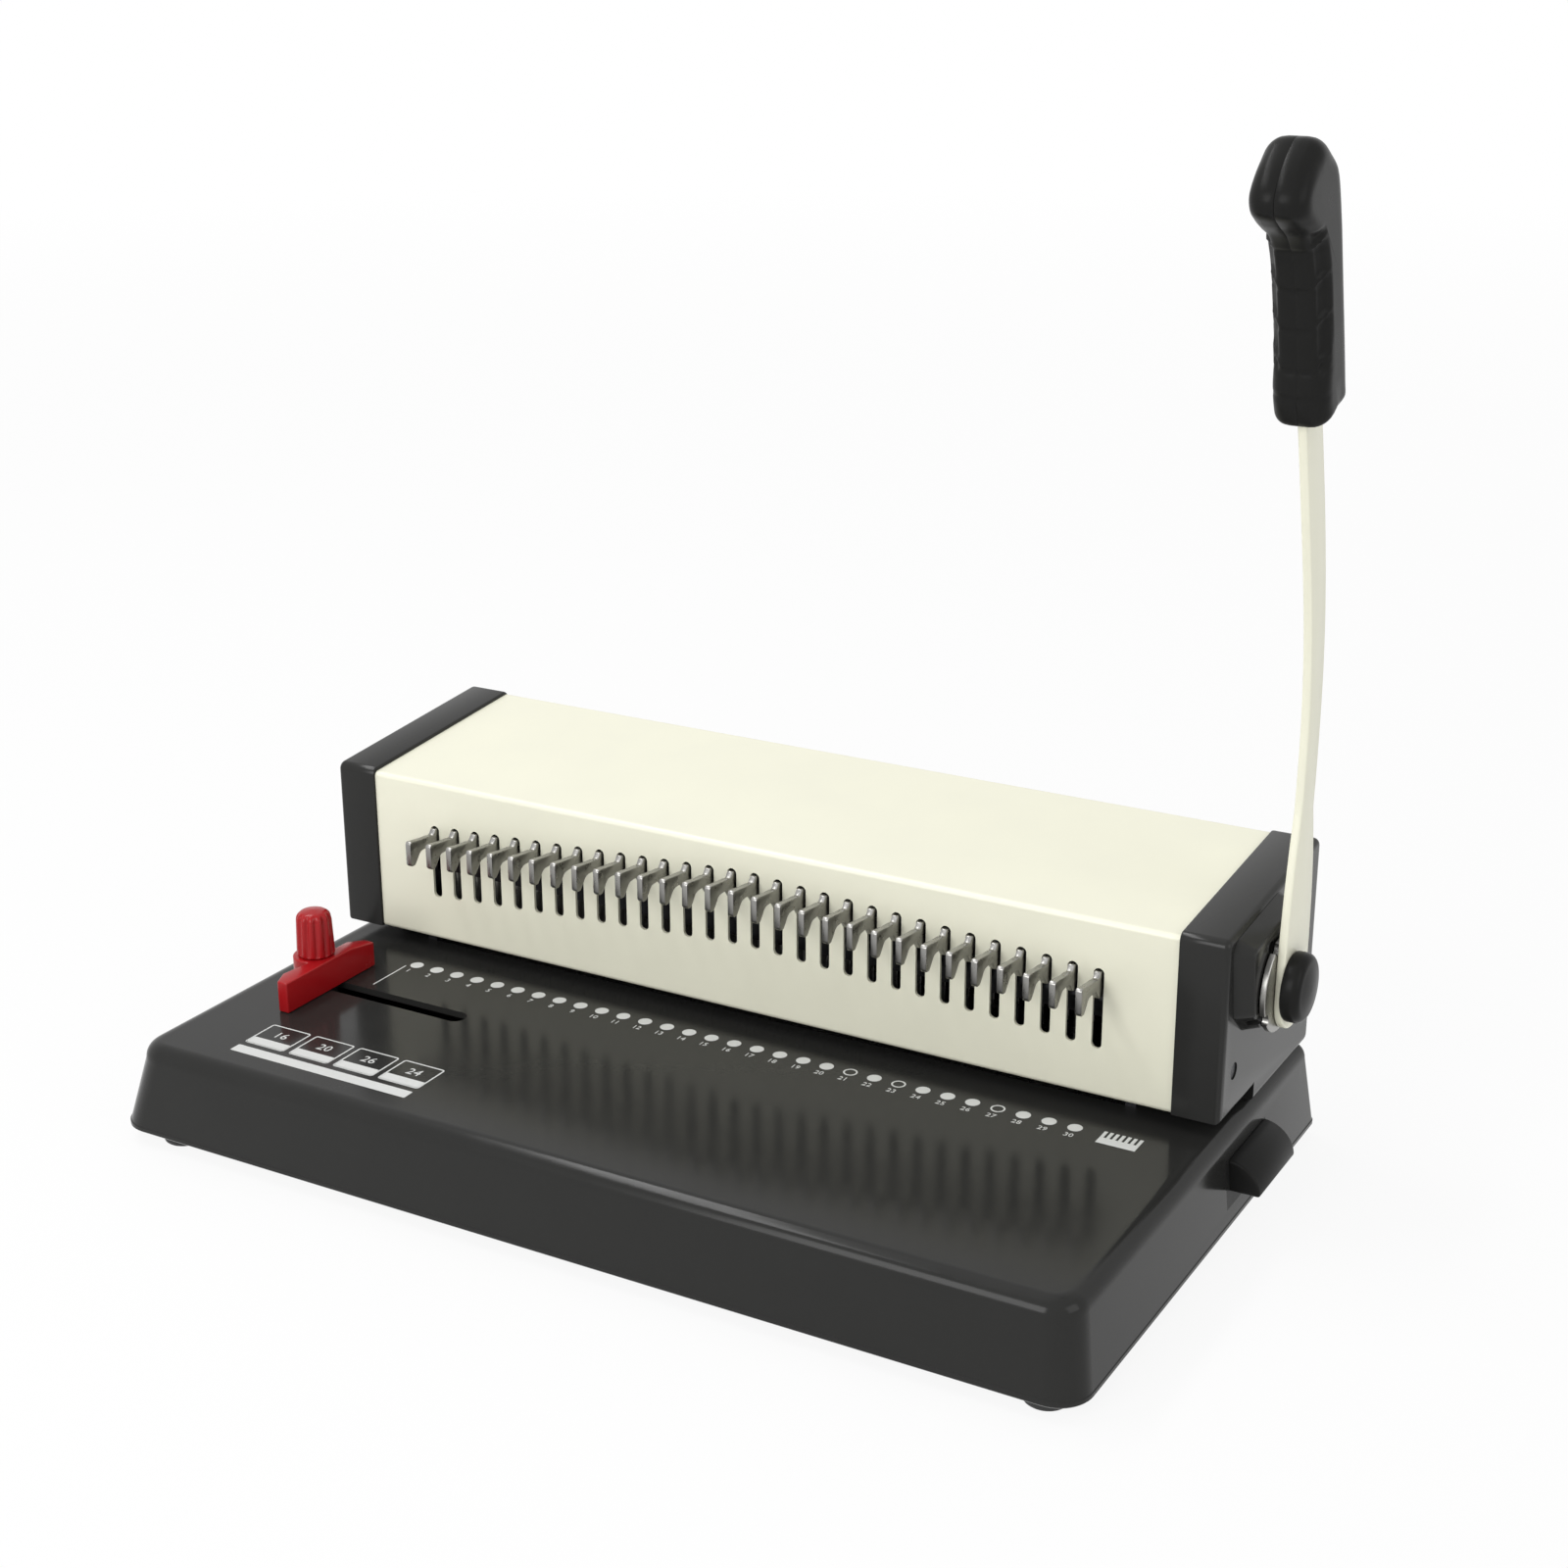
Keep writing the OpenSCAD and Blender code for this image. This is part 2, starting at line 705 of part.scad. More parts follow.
module pivot_cap() {
  h = knuckle_x - arm_x1;
  color(black) difference() {
    translate([arm_x1, shaft_y, shaft_z]) rotate([0, 90, 0]) rotate_extrude($fn = 64)
      polygon(concat([[0, 0], [12, 0]], [for (a = [0:15:90]) [9.5 + 2.5 * cos(a), h - 3.5 + 2.5 * sin(a)]],
        [[5, h - 0.3], [0, h]]));
    rod_x(arm_x1 - 1, arm_x1 + 3.5, shaft_y, shaft_z, shaft_r, 48);
  }
}

// Punch set

module punch_bar() {
  color(dark_steel) difference() {
    block(-bar_x, bar_x, bar_y0, bar_y1, bar_low, bar_top - retainer_t);
    row_holes(pin_r + snug, bar_low - cut, bar_top);
    for (s = [-1, 1]) rod_z(s * post_x, post_y, bar_low - cut, bar_top, post_r + run);
    for (x = retainer_xs()) rod_z(x, retainer_y, bar_low - cut, bar_top, screw_r + snug, fine);
  }
}

function retainer_xs() = [-row_l * 0.45, -row_l * 0.12, row_l * 0.12, row_l * 0.45];

module punch_pins() {
  color(steel) row_holes(pin_r, pin_tip, bar_top - retainer_t);
}

module pin_retainer() {
  color(steel) difference() {
    block(-bar_x, bar_x, bar_y0, retainer_y1, bar_top - retainer_t, bar_top);
    for (x = retainer_xs()) rod_z(x, retainer_y, bar_low, bar_top + cut, screw_r + snug, fine);
  }
}

module retainer_screws() {
  color(dark_steel) for (x = retainer_xs()) {
    rod_z(x, retainer_y, bar_low, bar_top, screw_r, fine);
    rod_z(x, retainer_y, bar_top, bar_top + 1.2, screw_head, fine);
  }
}

// Hook set

module hook_carrier() {
  color(dark_steel) difference() {
    block(-carrier_x, carrier_x, carrier_y0, carrier_y1, slot_z(0) - 13, z_edge - 5);
    for (i = [0:hole_count - 1]) hook_tenon(i);
    for (p = rack_screw_places()) rod_y(p[0], carrier_y0 - cut, carrier_y1 + cut, p[1], screw_r, fine);
  }
}

module hook_tenon(i) {
  x0 = row_x(i) - hook_t / 2;
  block(x0, x0 + hook_t, carrier_y0 - 0.01, carrier_y1, slot_z(i) - 9, slot_z(i) - 3);
}

// Side view of one hook, measured down from the top of its slot
module hook_outline() {
  offset(r = 0.5, $fn = 12) offset(delta = -0.5) difference() {
    polygon([[carrier_y0, -0.8], [-1.2, -0.8], [-4.4, -2.4], [-9, -2], [-16.2, -1], [-17, -1.8],
      [-17, -10], [-16.2, -11], [-14.4, -11], [-11.4, -7.2], [-9.5, -6.4], [-4.5, -6.6], [-1.8, -10.2],
      [carrier_y0, -10.4]]);
    translate([-3, -1.6]) circle(r = 1.5, $fn = 16);
  }
}

module hooks() {
  color(steel) for (i = [0:hole_count - 1]) {
    translate([0, 0, slot_z(i)]) slab_x(row_x(i) - hook_t / 2, row_x(i) + hook_t / 2) hook_outline();
    hook_tenon(i);
  }
}

rack_y = shaft_y - gear_r;
rack_z0 = slot_z(0) - 13;
rack_z1 = z_edge - 2.6;

module rack_outline() {
  root = rack_y - 1.25 * gear_m;
  polygon([[carrier_y1, rack_z0], [root, rack_z0], [root, rack_z1], [carrier_y1, rack_z1]]);
  intersection() {
    for (k = [-10:12]) translate([rack_y, shaft_z + (k + 0.5) * tooth_pitch])
      polygon([[-1.5, -0.95], [0, -0.5], [0.9, -0.25], [0.9, 0.25], [0, 0.5], [-1.5, 0.95]] * gear_m);
    translate([carrier_y1, rack_z0]) square([gear_r, rack_z1 - rack_z0]);
  }
}

module hook_racks() {
  color(steel) both_ends() difference() {
    slab_x(gear_x0, gear_x1) rack_outline();
    for (p = rack_screw_places()) rod_y(abs(p[0]), carrier_y1 - cut, carrier_y1 + 3, p[1], screw_r, fine);
  }
}

function rack_screw_places() = [for (s = [-1, 1]) for (z = [rack_z0 + 4, rack_z0 + 14])
  [s * (gear_x0 + gear_x1) / 2, z]];

module rack_screws() {
  color(dark_steel) for (p = rack_screw_places()) {
    rod_y(p[0], carrier_y0 - 1, carrier_y0, p[1], 2.4, fine);
    rod_y(p[0], carrier_y0, carrier_y1 + 3, p[1], screw_r, fine);
  }
}

// Edge stop

stop_y0 = stop_y - stop_shift - stop_l / 2;
stop_y1 = stop_y - stop_shift + stop_l / 2;
stop_z1 = z_top + stop_gap + stop_h;

module stop_outline() {
  offset(r = 1.2, $fn = 16) offset(delta = -1.2) union() {
    polygon([[stop_face, stop_y0], [stop_face, stop_y1], [stop_face - 4.5, stop_y1],
      [stop_face - 8, stop_y1 - 8], [stop_face - 16, stop_y + 4], [stop_face - 16, stop_y - 5],
      [stop_face - 8, stop_y0 + 8], [stop_face - 4.5, stop_y0]]);
    translate([stop_x, stop_y]) circle(r = knob_d / 2 + 1.5, $fn = 40);
  }
}

module edge_stop() {
  color(red) difference() {
    intersection() {
      translate([0, 0, z_top + stop_gap]) linear_extrude(height = stop_h) stop_outline();
      slab_x(stop_face - 20, stop_face + cut)
        polygon([[stop_y0 - cut, z_top], [stop_y0 - cut, stop_z1 + cut], [stop_y + knob_d / 2 + 2, stop_z1],
          [stop_y1 + cut, stop_z1 - stop_fall], [stop_y1 + cut, z_top]]);
    }
    rod_z(stop_x, stop_y, z_top - 1, z_top + stop_h + 1, 2 + run);
    block(stop_x - 3, stop_x + 3, stop_y - 2.2, stop_y + 2.2, z_top - 1, z_top + 3);
  }
}

module stop_shoe() {
  color(dark_steel) difference() {
    union() {
      block(stop_x - 3, stop_x + 3, stop_y - 2.2, stop_y + 2.2, z_top - base_wall - 0.5, z_top + 3);
      block(stop_x - 4, stop_x + 4, stop_y - shoe_w / 2, stop_y + shoe_w / 2,
        z_top - base_wall - 4, z_top - base_wall - 0.3);
    }
    rod_z(stop_x, stop_y, z_top - base_wall - 5, z_top + 4, 2 + run);
  }
}

module stop_strip() {
  z1 = z_top - base_wall;
  x0 = stop_x - 10;
  x1 = stop_x + stop_travel + 12;
  color(steel) {
    block(x0, x1, stop_y - 7, stop_y + 7, z1 - 6, z1 - 4.8);
    for (x = [x0, x1 - 1.2]) block(x, x + 1.2, stop_y - 7, stop_y + 7, z1 - 5, z1);
  }
}

module knob_outline() {
  r = knob_d / 2;
  polygon([for (k = [0:71]) let (a = k * 5, q = r - 0.45 + 0.45 * cos(a * 12)) [q * cos(a), q * sin(a)]]);
}

module stop_knob() {
  z0 = stop_z1 + 0.2;
  color(red) translate([stop_x, stop_y, z0]) difference() {
    union() {
      linear_extrude(height = knob_h - 3, scale = 0.93) knob_outline();
      translate([0, 0, knob_h - 3]) linear_extrude(height = 3, scale = 0.72) scale(0.93) knob_outline();
    }
    translate([0, 0, -1]) cylinder(r = 2, h = knob_h - 6, $fn = 24);
  }
}

module clamp_screw() {
  z1 = z_top - base_wall;
  color(steel) rod_z(stop_x, stop_y, z1 - 4, z_top + stop_h + knob_h - 7, 2);
}

translate(home) base_shell();
translate(home) base_floor();
translate(home) rubber_feet();
translate(home) foot_screws();
translate(home) tray_runners();
translate(home) chip_tray();
translate(home) tray_pull();
translate(home) pull_screws();
translate(home) die_plate();
translate(home) throat_spacers();
translate(home) paper_fence();
translate(home) guide_plate();
translate(home) guide_posts();
translate(home) side_plate_left();
translate(home) side_plate_right();
translate(home) shaft_bushes();
translate(home) hook_guides();
translate(home) cover_sheet();
translate(home) rear_sheet();
translate(home) end_cap_left();
translate(home) end_cap_right();
translate(home) cap_screws();
translate(home) main_shaft();
translate(home) punch_cams();
translate(home) hook_pinions();
translate(home) set_screws();
translate(home) lever_hub();
translate(home) lever_arm();
translate(home) grip_left();
translate(home) grip_right();
translate(home) grip_rivets();
translate(home) pivot_cap();
translate(home) punch_bar();
translate(home) punch_pins();
translate(home) pin_retainer();
translate(home) retainer_screws();
translate(home) hook_carrier();
translate(home) hooks();
translate(home) hook_racks();
translate(home) rack_screws();
translate(home) edge_stop();
translate(home) stop_shoe();
translate(home) stop_strip();
translate(home) stop_knob();
translate(home) clamp_screw();
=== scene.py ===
"""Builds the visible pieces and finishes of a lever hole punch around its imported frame."""

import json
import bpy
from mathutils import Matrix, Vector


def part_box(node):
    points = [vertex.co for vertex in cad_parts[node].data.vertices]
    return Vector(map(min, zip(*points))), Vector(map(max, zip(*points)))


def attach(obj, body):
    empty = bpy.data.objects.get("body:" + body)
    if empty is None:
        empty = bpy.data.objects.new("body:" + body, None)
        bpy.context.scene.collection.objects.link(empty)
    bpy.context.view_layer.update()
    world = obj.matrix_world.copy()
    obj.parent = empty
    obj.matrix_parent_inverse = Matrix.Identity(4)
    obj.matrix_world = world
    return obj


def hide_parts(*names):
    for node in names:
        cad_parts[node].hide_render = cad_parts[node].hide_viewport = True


bl_info = {
    "name": "Lever Hole Punch",
    "version": (1, 0, 0),
    "blender": (4, 5, 0),
    "location": "View3D > Sidebar > Hole Punch",
    "description": "Builds the pieces, finishes and studio of a lever hole punch",
    "category": "Object",
}

from math import atan2, ceil, cos, exp, pi, radians, sin, sqrt, tau

import bmesh
import bpy
from bpy.props import FloatProperty, FloatVectorProperty, IntProperty, PointerProperty
from mathutils import Matrix, Vector

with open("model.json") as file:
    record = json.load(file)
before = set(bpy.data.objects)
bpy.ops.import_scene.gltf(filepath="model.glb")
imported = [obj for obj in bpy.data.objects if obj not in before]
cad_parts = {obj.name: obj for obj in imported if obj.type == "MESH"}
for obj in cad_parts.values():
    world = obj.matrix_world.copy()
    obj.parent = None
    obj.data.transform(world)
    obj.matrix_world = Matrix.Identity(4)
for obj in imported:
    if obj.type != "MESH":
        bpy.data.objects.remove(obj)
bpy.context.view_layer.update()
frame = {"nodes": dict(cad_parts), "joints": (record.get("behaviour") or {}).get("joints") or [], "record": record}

MM = 0.001

# Pieces are drawn in millimetres: X from the middle of the row of holes, Y from the
# cover's front face towards the back, Z from the table. HOME carries them into the frame.
COVER_LOW, COVER_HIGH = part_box("cover_sheet")
ORIGIN = Vector(((COVER_LOW.x + COVER_HIGH.x) / 2, COVER_LOW.y, 0.0))
HOME = Matrix.Translation(ORIGIN) @ Matrix.Scale(MM, 4)


def span(node):
    """Lowest and highest corner of a CAD node, in the millimetres that the pieces are drawn in."""
    low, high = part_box(node)
    return (low - ORIGIN) / MM, (high - ORIGIN) / MM


def joint_place(name):
    """Where a joint's axis passes, in the millimetres that the pieces are drawn in."""
    joint = next(j for j in frame["joints"] if j["name"] == name)
    return (Vector(joint["pos_m"]) - ORIGIN) / MM


PIVOT = joint_place("lever_pivot")
KNOB_AXIS = joint_place("knob_turn")
BASE_LOW, BASE_HIGH = span("base_shell")
TABLE_TOP = BASE_HIGH.z


# Sizes and colours that a user would change


def length(name, description, millimetres):
    """A length property whose default is written in millimetres."""
    return FloatProperty(
        name=name, description=description, default=millimetres * MM, min=0.0, unit="LENGTH", precision=5
    )


def colour(name, description, red, green, blue):
    """A linear colour property."""
    return FloatVectorProperty(
        name=name,
        description=description,
        default=(red, green, blue),
        min=0.0,
        max=1.0,
        subtype="COLOR",
        size=3,
    )


class PunchSizes(bpy.types.PropertyGroup):
    """Lengths of the visible pieces."""

    hole_count: IntProperty(name="Holes", description="Number of hooks and printed dots", default=30, min=2)
    hole_pitch: length("Hole pitch", "Distance from one hole to the next", 9.5)
    slot_drop: length("Slot drop", "Drop of each slot below its neighbour nearer the middle", 0.59)
    front_corner: length("Front corners", "Radius of the base's front corners", 12)
    back_corner: length("Back corners", "Radius of the base's back corners", 5)
    base_edge: length("Base edge", "Radius of the base's upper edge", 6.0)
    flare_left: length("Flare left", "Lean of the base's left wall at its lower edge", 9)
    flare_right: length("Flare right", "Lean of the base's right wall at its lower edge", 3)
    flare_front: length("Flare front", "Lean of the base's front wall at its lower edge", 2)
    flare_back: length("Flare back", "Lean of the base's back wall at its lower edge", 5)
    base_wall: length("Base wall", "Thickness of the base's wall", 2.5)
    cap_corner: length("Cap corner", "Radius of the end caps' corners", 3.2)
    cap_edge: length("Cap edge", "Radius of the end caps' outer edge", 2.2)
    top_rise: length("Top rise", "Rise of the head's top from front to back", 7.4)
    bar_width: length("Bar width", "Width of the lever bar at the grip", 15)
    bar_waist: length("Bar waist", "Width of the lever bar above its plate", 12)
    bar_rise: length("Bar rise", "Height of the bar's end above the shaft", 194)
    stop_fall: length("Stop fall", "Fall of the edge stop's top behind the knob", 2.5)
    bar_edge: length("Bar edge", "Rounding of the lever bar's edges", 0.8)
    grip_edge: length("Grip edge", "Rounding of the grip's edges", 6.2)
    scoop_depth: length("Finger scoop", "Depth of the finger scoop in the grip's sides", 1.5)
    ink: length("Ink", "Thickness of the printed marks", 0.05)


class PunchColours(bpy.types.PropertyGroup):
    """Colours of the finishes."""

    cream: colour("Cream", "Paint of the cover and the lever", 0.81, 0.8, 0.65)
    black: colour("Black", "Paint of the base and plastic of the end caps", 0.022, 0.022, 0.021)
    moulded: colour("Moulded", "Plastic of the grip, pivot cap and tray", 0.014, 0.014, 0.0135)
    nickel: colour("Nickel", "Plating of the hooks and pins", 0.33, 0.325, 0.31)
    oxide: colour("Black oxide", "Finish of the hidden frame", 0.06, 0.06, 0.065)
    bronze: colour("Bronze", "Bushes of the shaft", 0.52, 0.32, 0.12)
    rubber: colour("Rubber", "Feet", 0.03, 0.03, 0.03)
    red: colour("Red", "Edge stop and its knob", 0.34, 0.006, 0.009)
    ink: colour("Ink", "Printed marks", 0.62, 0.63, 0.62)
    floor: colour("Floor", "Floor of the studio", 0.85, 0.85, 0.85)


def sizes():
    return bpy.context.scene.punch_sizes


def mm(value):
    """A length property in millimetres."""
    return value / MM


def row_x(index):
    """Place of a hole along the row."""
    return (index - (sizes().hole_count - 1) / 2) * mm(sizes().hole_pitch)


# Outlines


def rounded_outline(corners, radius, inset=0.0, steps=8):
    """Points of a convex outline, listed anticlockwise and moved inwards by inset.

    radius is one number, or a list with one for each corner.
    """
    outline = []
    radii = radius if isinstance(radius, list) else [radius] * len(corners)
    for k, here in enumerate(corners):
        way_in = (here - corners[k - 1]).normalized()
        way_out = (corners[(k + 1) % len(corners)] - here).normalized()
        out_a = Vector((way_in.y, -way_in.x))
        out_b = Vector((way_out.y, -way_out.x))
        centre = here - radii[k] * (out_a + out_b) / (1 + out_a.dot(out_b))
        start = atan2(out_a.y, out_a.x)
        turn = (atan2(out_b.y, out_b.x) - start) % tau
        for s in range(steps + 1):
            angle = start + turn * s / steps
            outline.append(centre + (radii[k] - inset) * Vector((cos(angle), sin(angle))))
    return outline


def points(*pairs):
    return [Vector(pair) for pair in pairs]


def rectangle(x0, x1, y0, y1):
    return points((x0, y0), (x1, y0), (x1, y1), (x0, y1))


def circle(x, y, radius, steps=24):
    angles = [tau * k / steps for k in range(steps)]
    return [Vector((x + radius * cos(angle), y + radius * sin(angle))) for angle in angles]


def smooth_loop(corners, spacing):
    """Closed smooth curve through the corners, as points at an even spacing."""
    dense = []
    count = len(corners)
    steps = 20
    for k in range(count):
        p = [corners[(k + j - 1) % count] for j in range(4)]
        t = [0.0]
        for j in range(3):
            t.append(t[-1] + sqrt((p[j + 1] - p[j]).length))
        for s in range(steps):
            at = t[1] + (t[2] - t[1]) * s / steps
            a = [p[j].lerp(p[j + 1], (at - t[j]) / (t[j + 1] - t[j])) for j in range(3)]
            b = [a[j].lerp(a[j + 1], (at - t[j]) / (t[j + 2] - t[j])) for j in range(2)]
            dense.append(b[0].lerp(b[1], (at - t[1]) / (t[2] - t[1])))
    return even_steps(dense + [dense[0]], spacing)[:-1]


def even_steps(line, spacing):
    """The same line with its points at an even spacing."""
    lengths = [0.0]
    for a, b in zip(line, line[1:]):
        lengths.append(lengths[-1] + (b - a).length)
    count = max(2, ceil(lengths[-1] / spacing))
    result = []
    k = 0
    for s in range(count + 1):
        at = lengths[-1] * s / count
        while k < len(line) - 2 and lengths[k + 1] < at:
            k += 1
        step = lengths[k + 1] - lengths[k]
        result.append(line[k].lerp(line[k + 1], (at - lengths[k]) / step))
    return result


def bezier(p, t):
    """Point of a cubic curve with four control points."""
    return (1 - t) ** 3 * p[0] + 3 * t * (1 - t) ** 2 * p[1] + 3 * t * t * (1 - t) * p[2] + t**3 * p[3]


# Meshes


def skin(bm, rings, closed=True):
    """Joins equal rings of points into a tube, with a face over each end where it is closed."""
    loops = [[bm.verts.new(point) for point in ring] for ring in rings]
    count = len(loops[0])
    for a, b in zip(loops, loops[1:]):
        for k in range(count):
            bm.faces.new((a[k], a[(k + 1) % count], b[(k + 1) % count], b[k]))
    if closed:
        bm.faces.new(loops[0])
        bm.faces.new(loops[-1])


def skinned(rings, closed=True):
    bm = bmesh.new()
    skin(bm, rings, closed)
    return bm


def slab(outline, place, first, last):
    """A flat outline given a thickness: place turns an outline point and a depth into a point."""
    return skinned([[place(point, depth) for point in outline] for depth in (first, last)])


def side_view(point, x):
    """Place of an outline drawn in the YZ plane."""
    return Vector((x, point.x, point.y))


def plan_view(point, z):
    """Place of an outline drawn in the XY plane."""
    return Vector((point.x, point.y, z))


def front_view(point, y):
    """Place of an outline drawn in the XZ plane."""
    return Vector((point.x, y, point.y))


def lathe(profile, place, steps=64):
    """Turns a profile of (radius, distance along the axis) round its axis.

    A profile that ends where it starts makes a ring, and any other is closed at both ends.
    """
    least = 0.02
    rings = []
    for radius, along in profile:
        reach = max(radius, least)
        ring = []
        for k in range(steps):
            angle = tau * k / steps
            ring.append(place(reach * cos(angle), reach * sin(angle), along))
        rings.append(ring)
    return skinned(rings, profile[0] != profile[-1])


def about_pivot(a, b, along):
    """Place of a lathe's point round the lever's shaft."""
    return Vector((along, PIVOT.y + a, PIVOT.z + b))


def block(x0, x1, y0, y1, z0, z1):
    return slab(rectangle(x0, x1, y0, y1), plan_view, z0, z1)


def rod(radius, x0, x1, y, z, steps=32):
    """A round bar along X."""
    return slab(circle(y, z, radius, steps), side_view, x0, x1)


def quarter_turn(count):
    """Angles from 0 to a quarter turn."""
    return [pi / 2 * k / count for k in range(count + 1)]


def arc_steps(radius, count):
    """Inset and rise of each step round a quarter-round edge."""
    return [(radius * (1 - cos(angle)), radius * sin(angle)) for angle in quarter_turn(count)]


def add_object(name, data):
    """Puts a new object in the scene."""
    item = bpy.data.objects.new(name, data)
    bpy.context.scene.collection.objects.link(item)
    return item


def plain_mesh(item):
    """The mesh that an object's modifiers or text make."""
    bpy.context.view_layer.update()
    graph = bpy.context.evaluated_depsgraph_get()
    return bpy.data.meshes.new_from_object(item.evaluated_get(graph))


def make_object(name, bm):
    """A mesh object from a drawing in millimetres, with its place in its mesh."""
    one_point = 1e-4
    bmesh.ops.remove_doubles(bm, verts=bm.verts, dist=one_point)
    bmesh.ops.recalc_face_normals(bm, faces=bm.faces)
    mesh = bpy.data.meshes.new(name)
    bm.to_mesh(mesh)
    bm.free()
    mesh.transform(HOME)
    return add_object(name, mesh)


def settle(piece):
    """Turns an object's modifiers into a plain mesh."""
    mesh = plain_mesh(piece)
    old = piece.data
    piece.modifiers.clear()
    piece.data = mesh
    bpy.data.meshes.remove(old)
    mesh.name = piece.name


def combine(piece, others, operation):
    """Joins other drawings to a piece, or cuts them out of it."""
    for number, bm in enumerate(others):
        tool = make_object(f"{piece.name}_tool_{number}", bm)
        change = piece.modifiers.new("combine", "BOOLEAN")
        change.operation = operation
        change.solver = "EXACT"
        change.object = tool
        settle(piece)
        bpy.data.meshes.remove(tool.data)


def bevel(piece, width, segments=3, angle=35):
    """Rounds a piece's sharp edges."""
    change = piece.modifiers.new("bevel", "BEVEL")
    change.width = width * MM
    change.segments = segments
    change.limit_method = "ANGLE"
    change.angle_limit = radians(angle)
    change.harden_normals = False
    settle(piece)


def finish(piece, material, body, slot, *nodes, sharp=32):
    """Shades a piece, gives it its material and fixes it to its body in place of the CAD nodes."""
    mesh = piece.data
    mesh.shade_smooth()
    mesh.set_sharp_from_angle(angle=radians(sharp))
    mesh.materials.clear()
    mesh.materials.append(bpy.data.materials[material])
    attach(piece, body)
    if nodes:
        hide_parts(*nodes)


# Nodes


def feed(tree, socket, value):
    """Links a socket to another node's output, or sets it to a plain value."""
    if isinstance(value, bpy.types.NodeSocket):
        tree.links.new(value, socket)
    else:
        socket.default_value = value


def maths(tree, operation, *values):
    """A math node, fed by numbers or by other nodes' outputs."""
    node = tree.nodes.new("ShaderNodeMath")
    node.operation = operation
    for socket, value in zip(node.inputs, values):
        feed(tree, socket, value)
    return node.outputs[0]


def vector_of(tree, **axes):
    """A vector from the values of some of its axes."""
    node = tree.nodes.new("ShaderNodeCombineXYZ")
    for axis, value in axes.items():
        feed(tree, node.inputs[axis], value)
    return node.outputs[0]


# Geometry node trees for what repeats


def new_tree(name, inputs):
    """A geometry tree with a piece going in, named inputs and one geometry coming out."""
    tree = bpy.data.node_groups.new(name, "GeometryNodeTree")
    tree.interface.new_socket("Piece", in_out="INPUT", socket_type="NodeSocketGeometry")
    for label, kind in inputs:
        tree.interface.new_socket(label, in_out="INPUT", socket_type=kind)
    tree.interface.new_socket("Pieces", in_out="OUTPUT", socket_type="NodeSocketGeometry")
    return tree


def place_copies(tree, source, count, offset):
    """Copies the piece to a number of offsets, and ends in a plain mesh with its material."""
    places = tree.nodes.new("GeometryNodePoints")
    copies = tree.nodes.new("GeometryNodeInstanceOnPoints")
    plain = tree.nodes.new("GeometryNodeRealizeInstances")
    dress = tree.nodes.new("GeometryNodeSetMaterial")
    target = tree.nodes.new("NodeGroupOutput")
    link = tree.links.new
    feed(tree, places.inputs["Count"], count)
    link(offset, places.inputs["Position"])
    link(places.outputs[0], copies.inputs["Points"])
    link(source.outputs["Piece"], copies.inputs["Instance"])
    link(copies.outputs[0], plain.inputs[0])
    link(plain.outputs[0], dress.inputs["Geometry"])
    link(source.outputs["Material"], dress.inputs["Material"])
    link(dress.outputs[0], target.inputs[0])


def row_tree():
    """Repeats a piece along the row of holes, each copy lower than its neighbour nearer the middle."""
    inputs = [
        ("Count", "NodeSocketInt"),
        ("Pitch", "NodeSocketFloat"),
        ("Drop", "NodeSocketFloat"),
        ("Material", "NodeSocketMaterial"),
    ]
    tree = new_tree("row_of_holes", inputs)
    source = tree.nodes.new("NodeGroupInput")
    index = tree.nodes.new("GeometryNodeInputIndex").outputs[0]
    last = maths(tree, "SUBTRACT", source.outputs["Count"], 1)
    from_middle = maths(tree, "SUBTRACT", index, maths(tree, "DIVIDE", last, 2))
    drop = maths(tree, "MULTIPLY", maths(tree, "ABSOLUTE", from_middle), source.outputs["Drop"])
    along = maths(tree, "MULTIPLY", from_middle, source.outputs["Pitch"])
    offset = vector_of(tree, X=along, Z=maths(tree, "MULTIPLY", drop, -1))
    place_copies(tree, source, source.outputs["Count"], offset)
    return tree


def corner_tree():
    """Repeats a piece at the four corners of a rectangle."""
    inputs = [
        ("Width", "NodeSocketFloat"),
        ("Depth", "NodeSocketFloat"),
        ("Material", "NodeSocketMaterial"),
    ]
    tree = new_tree("four_corners", inputs)
    source = tree.nodes.new("NodeGroupInput")
    index = tree.nodes.new("GeometryNodeInputIndex").outputs[0]
    column = maths(tree, "MODULO", index, 2)
    line = maths(tree, "FLOOR", maths(tree, "DIVIDE", index, 2))
    along = maths(tree, "MULTIPLY", column, source.outputs["Width"])
    offset = vector_of(tree, X=along, Y=maths(tree, "MULTIPLY", line, source.outputs["Depth"]))
    place_copies(tree, source, 4, offset)
    return tree


def repeat(piece, tree, **values):
    """Runs a tree on a piece with the given inputs and keeps the result as a plain mesh."""
    change = piece.modifiers.new("repeat", "NODES")
    change.node_group = tree
    for item in tree.interface.items_tree:
        if item.in_out == "INPUT" and item.name in values:
            change[item.identifier] = values[item.name]
    settle(piece)


def repeat_in_row(piece, drop, material):
    """Copies a piece to each hole of the row."""
    s = sizes()
    tree = bpy.data.node_groups.get("row_of_holes") or row_tree()
    given = bpy.data.materials[material]
    repeat(piece, tree, Count=s.hole_count, Pitch=s.hole_pitch, Drop=drop, Material=given)


# Shader groups and finishes


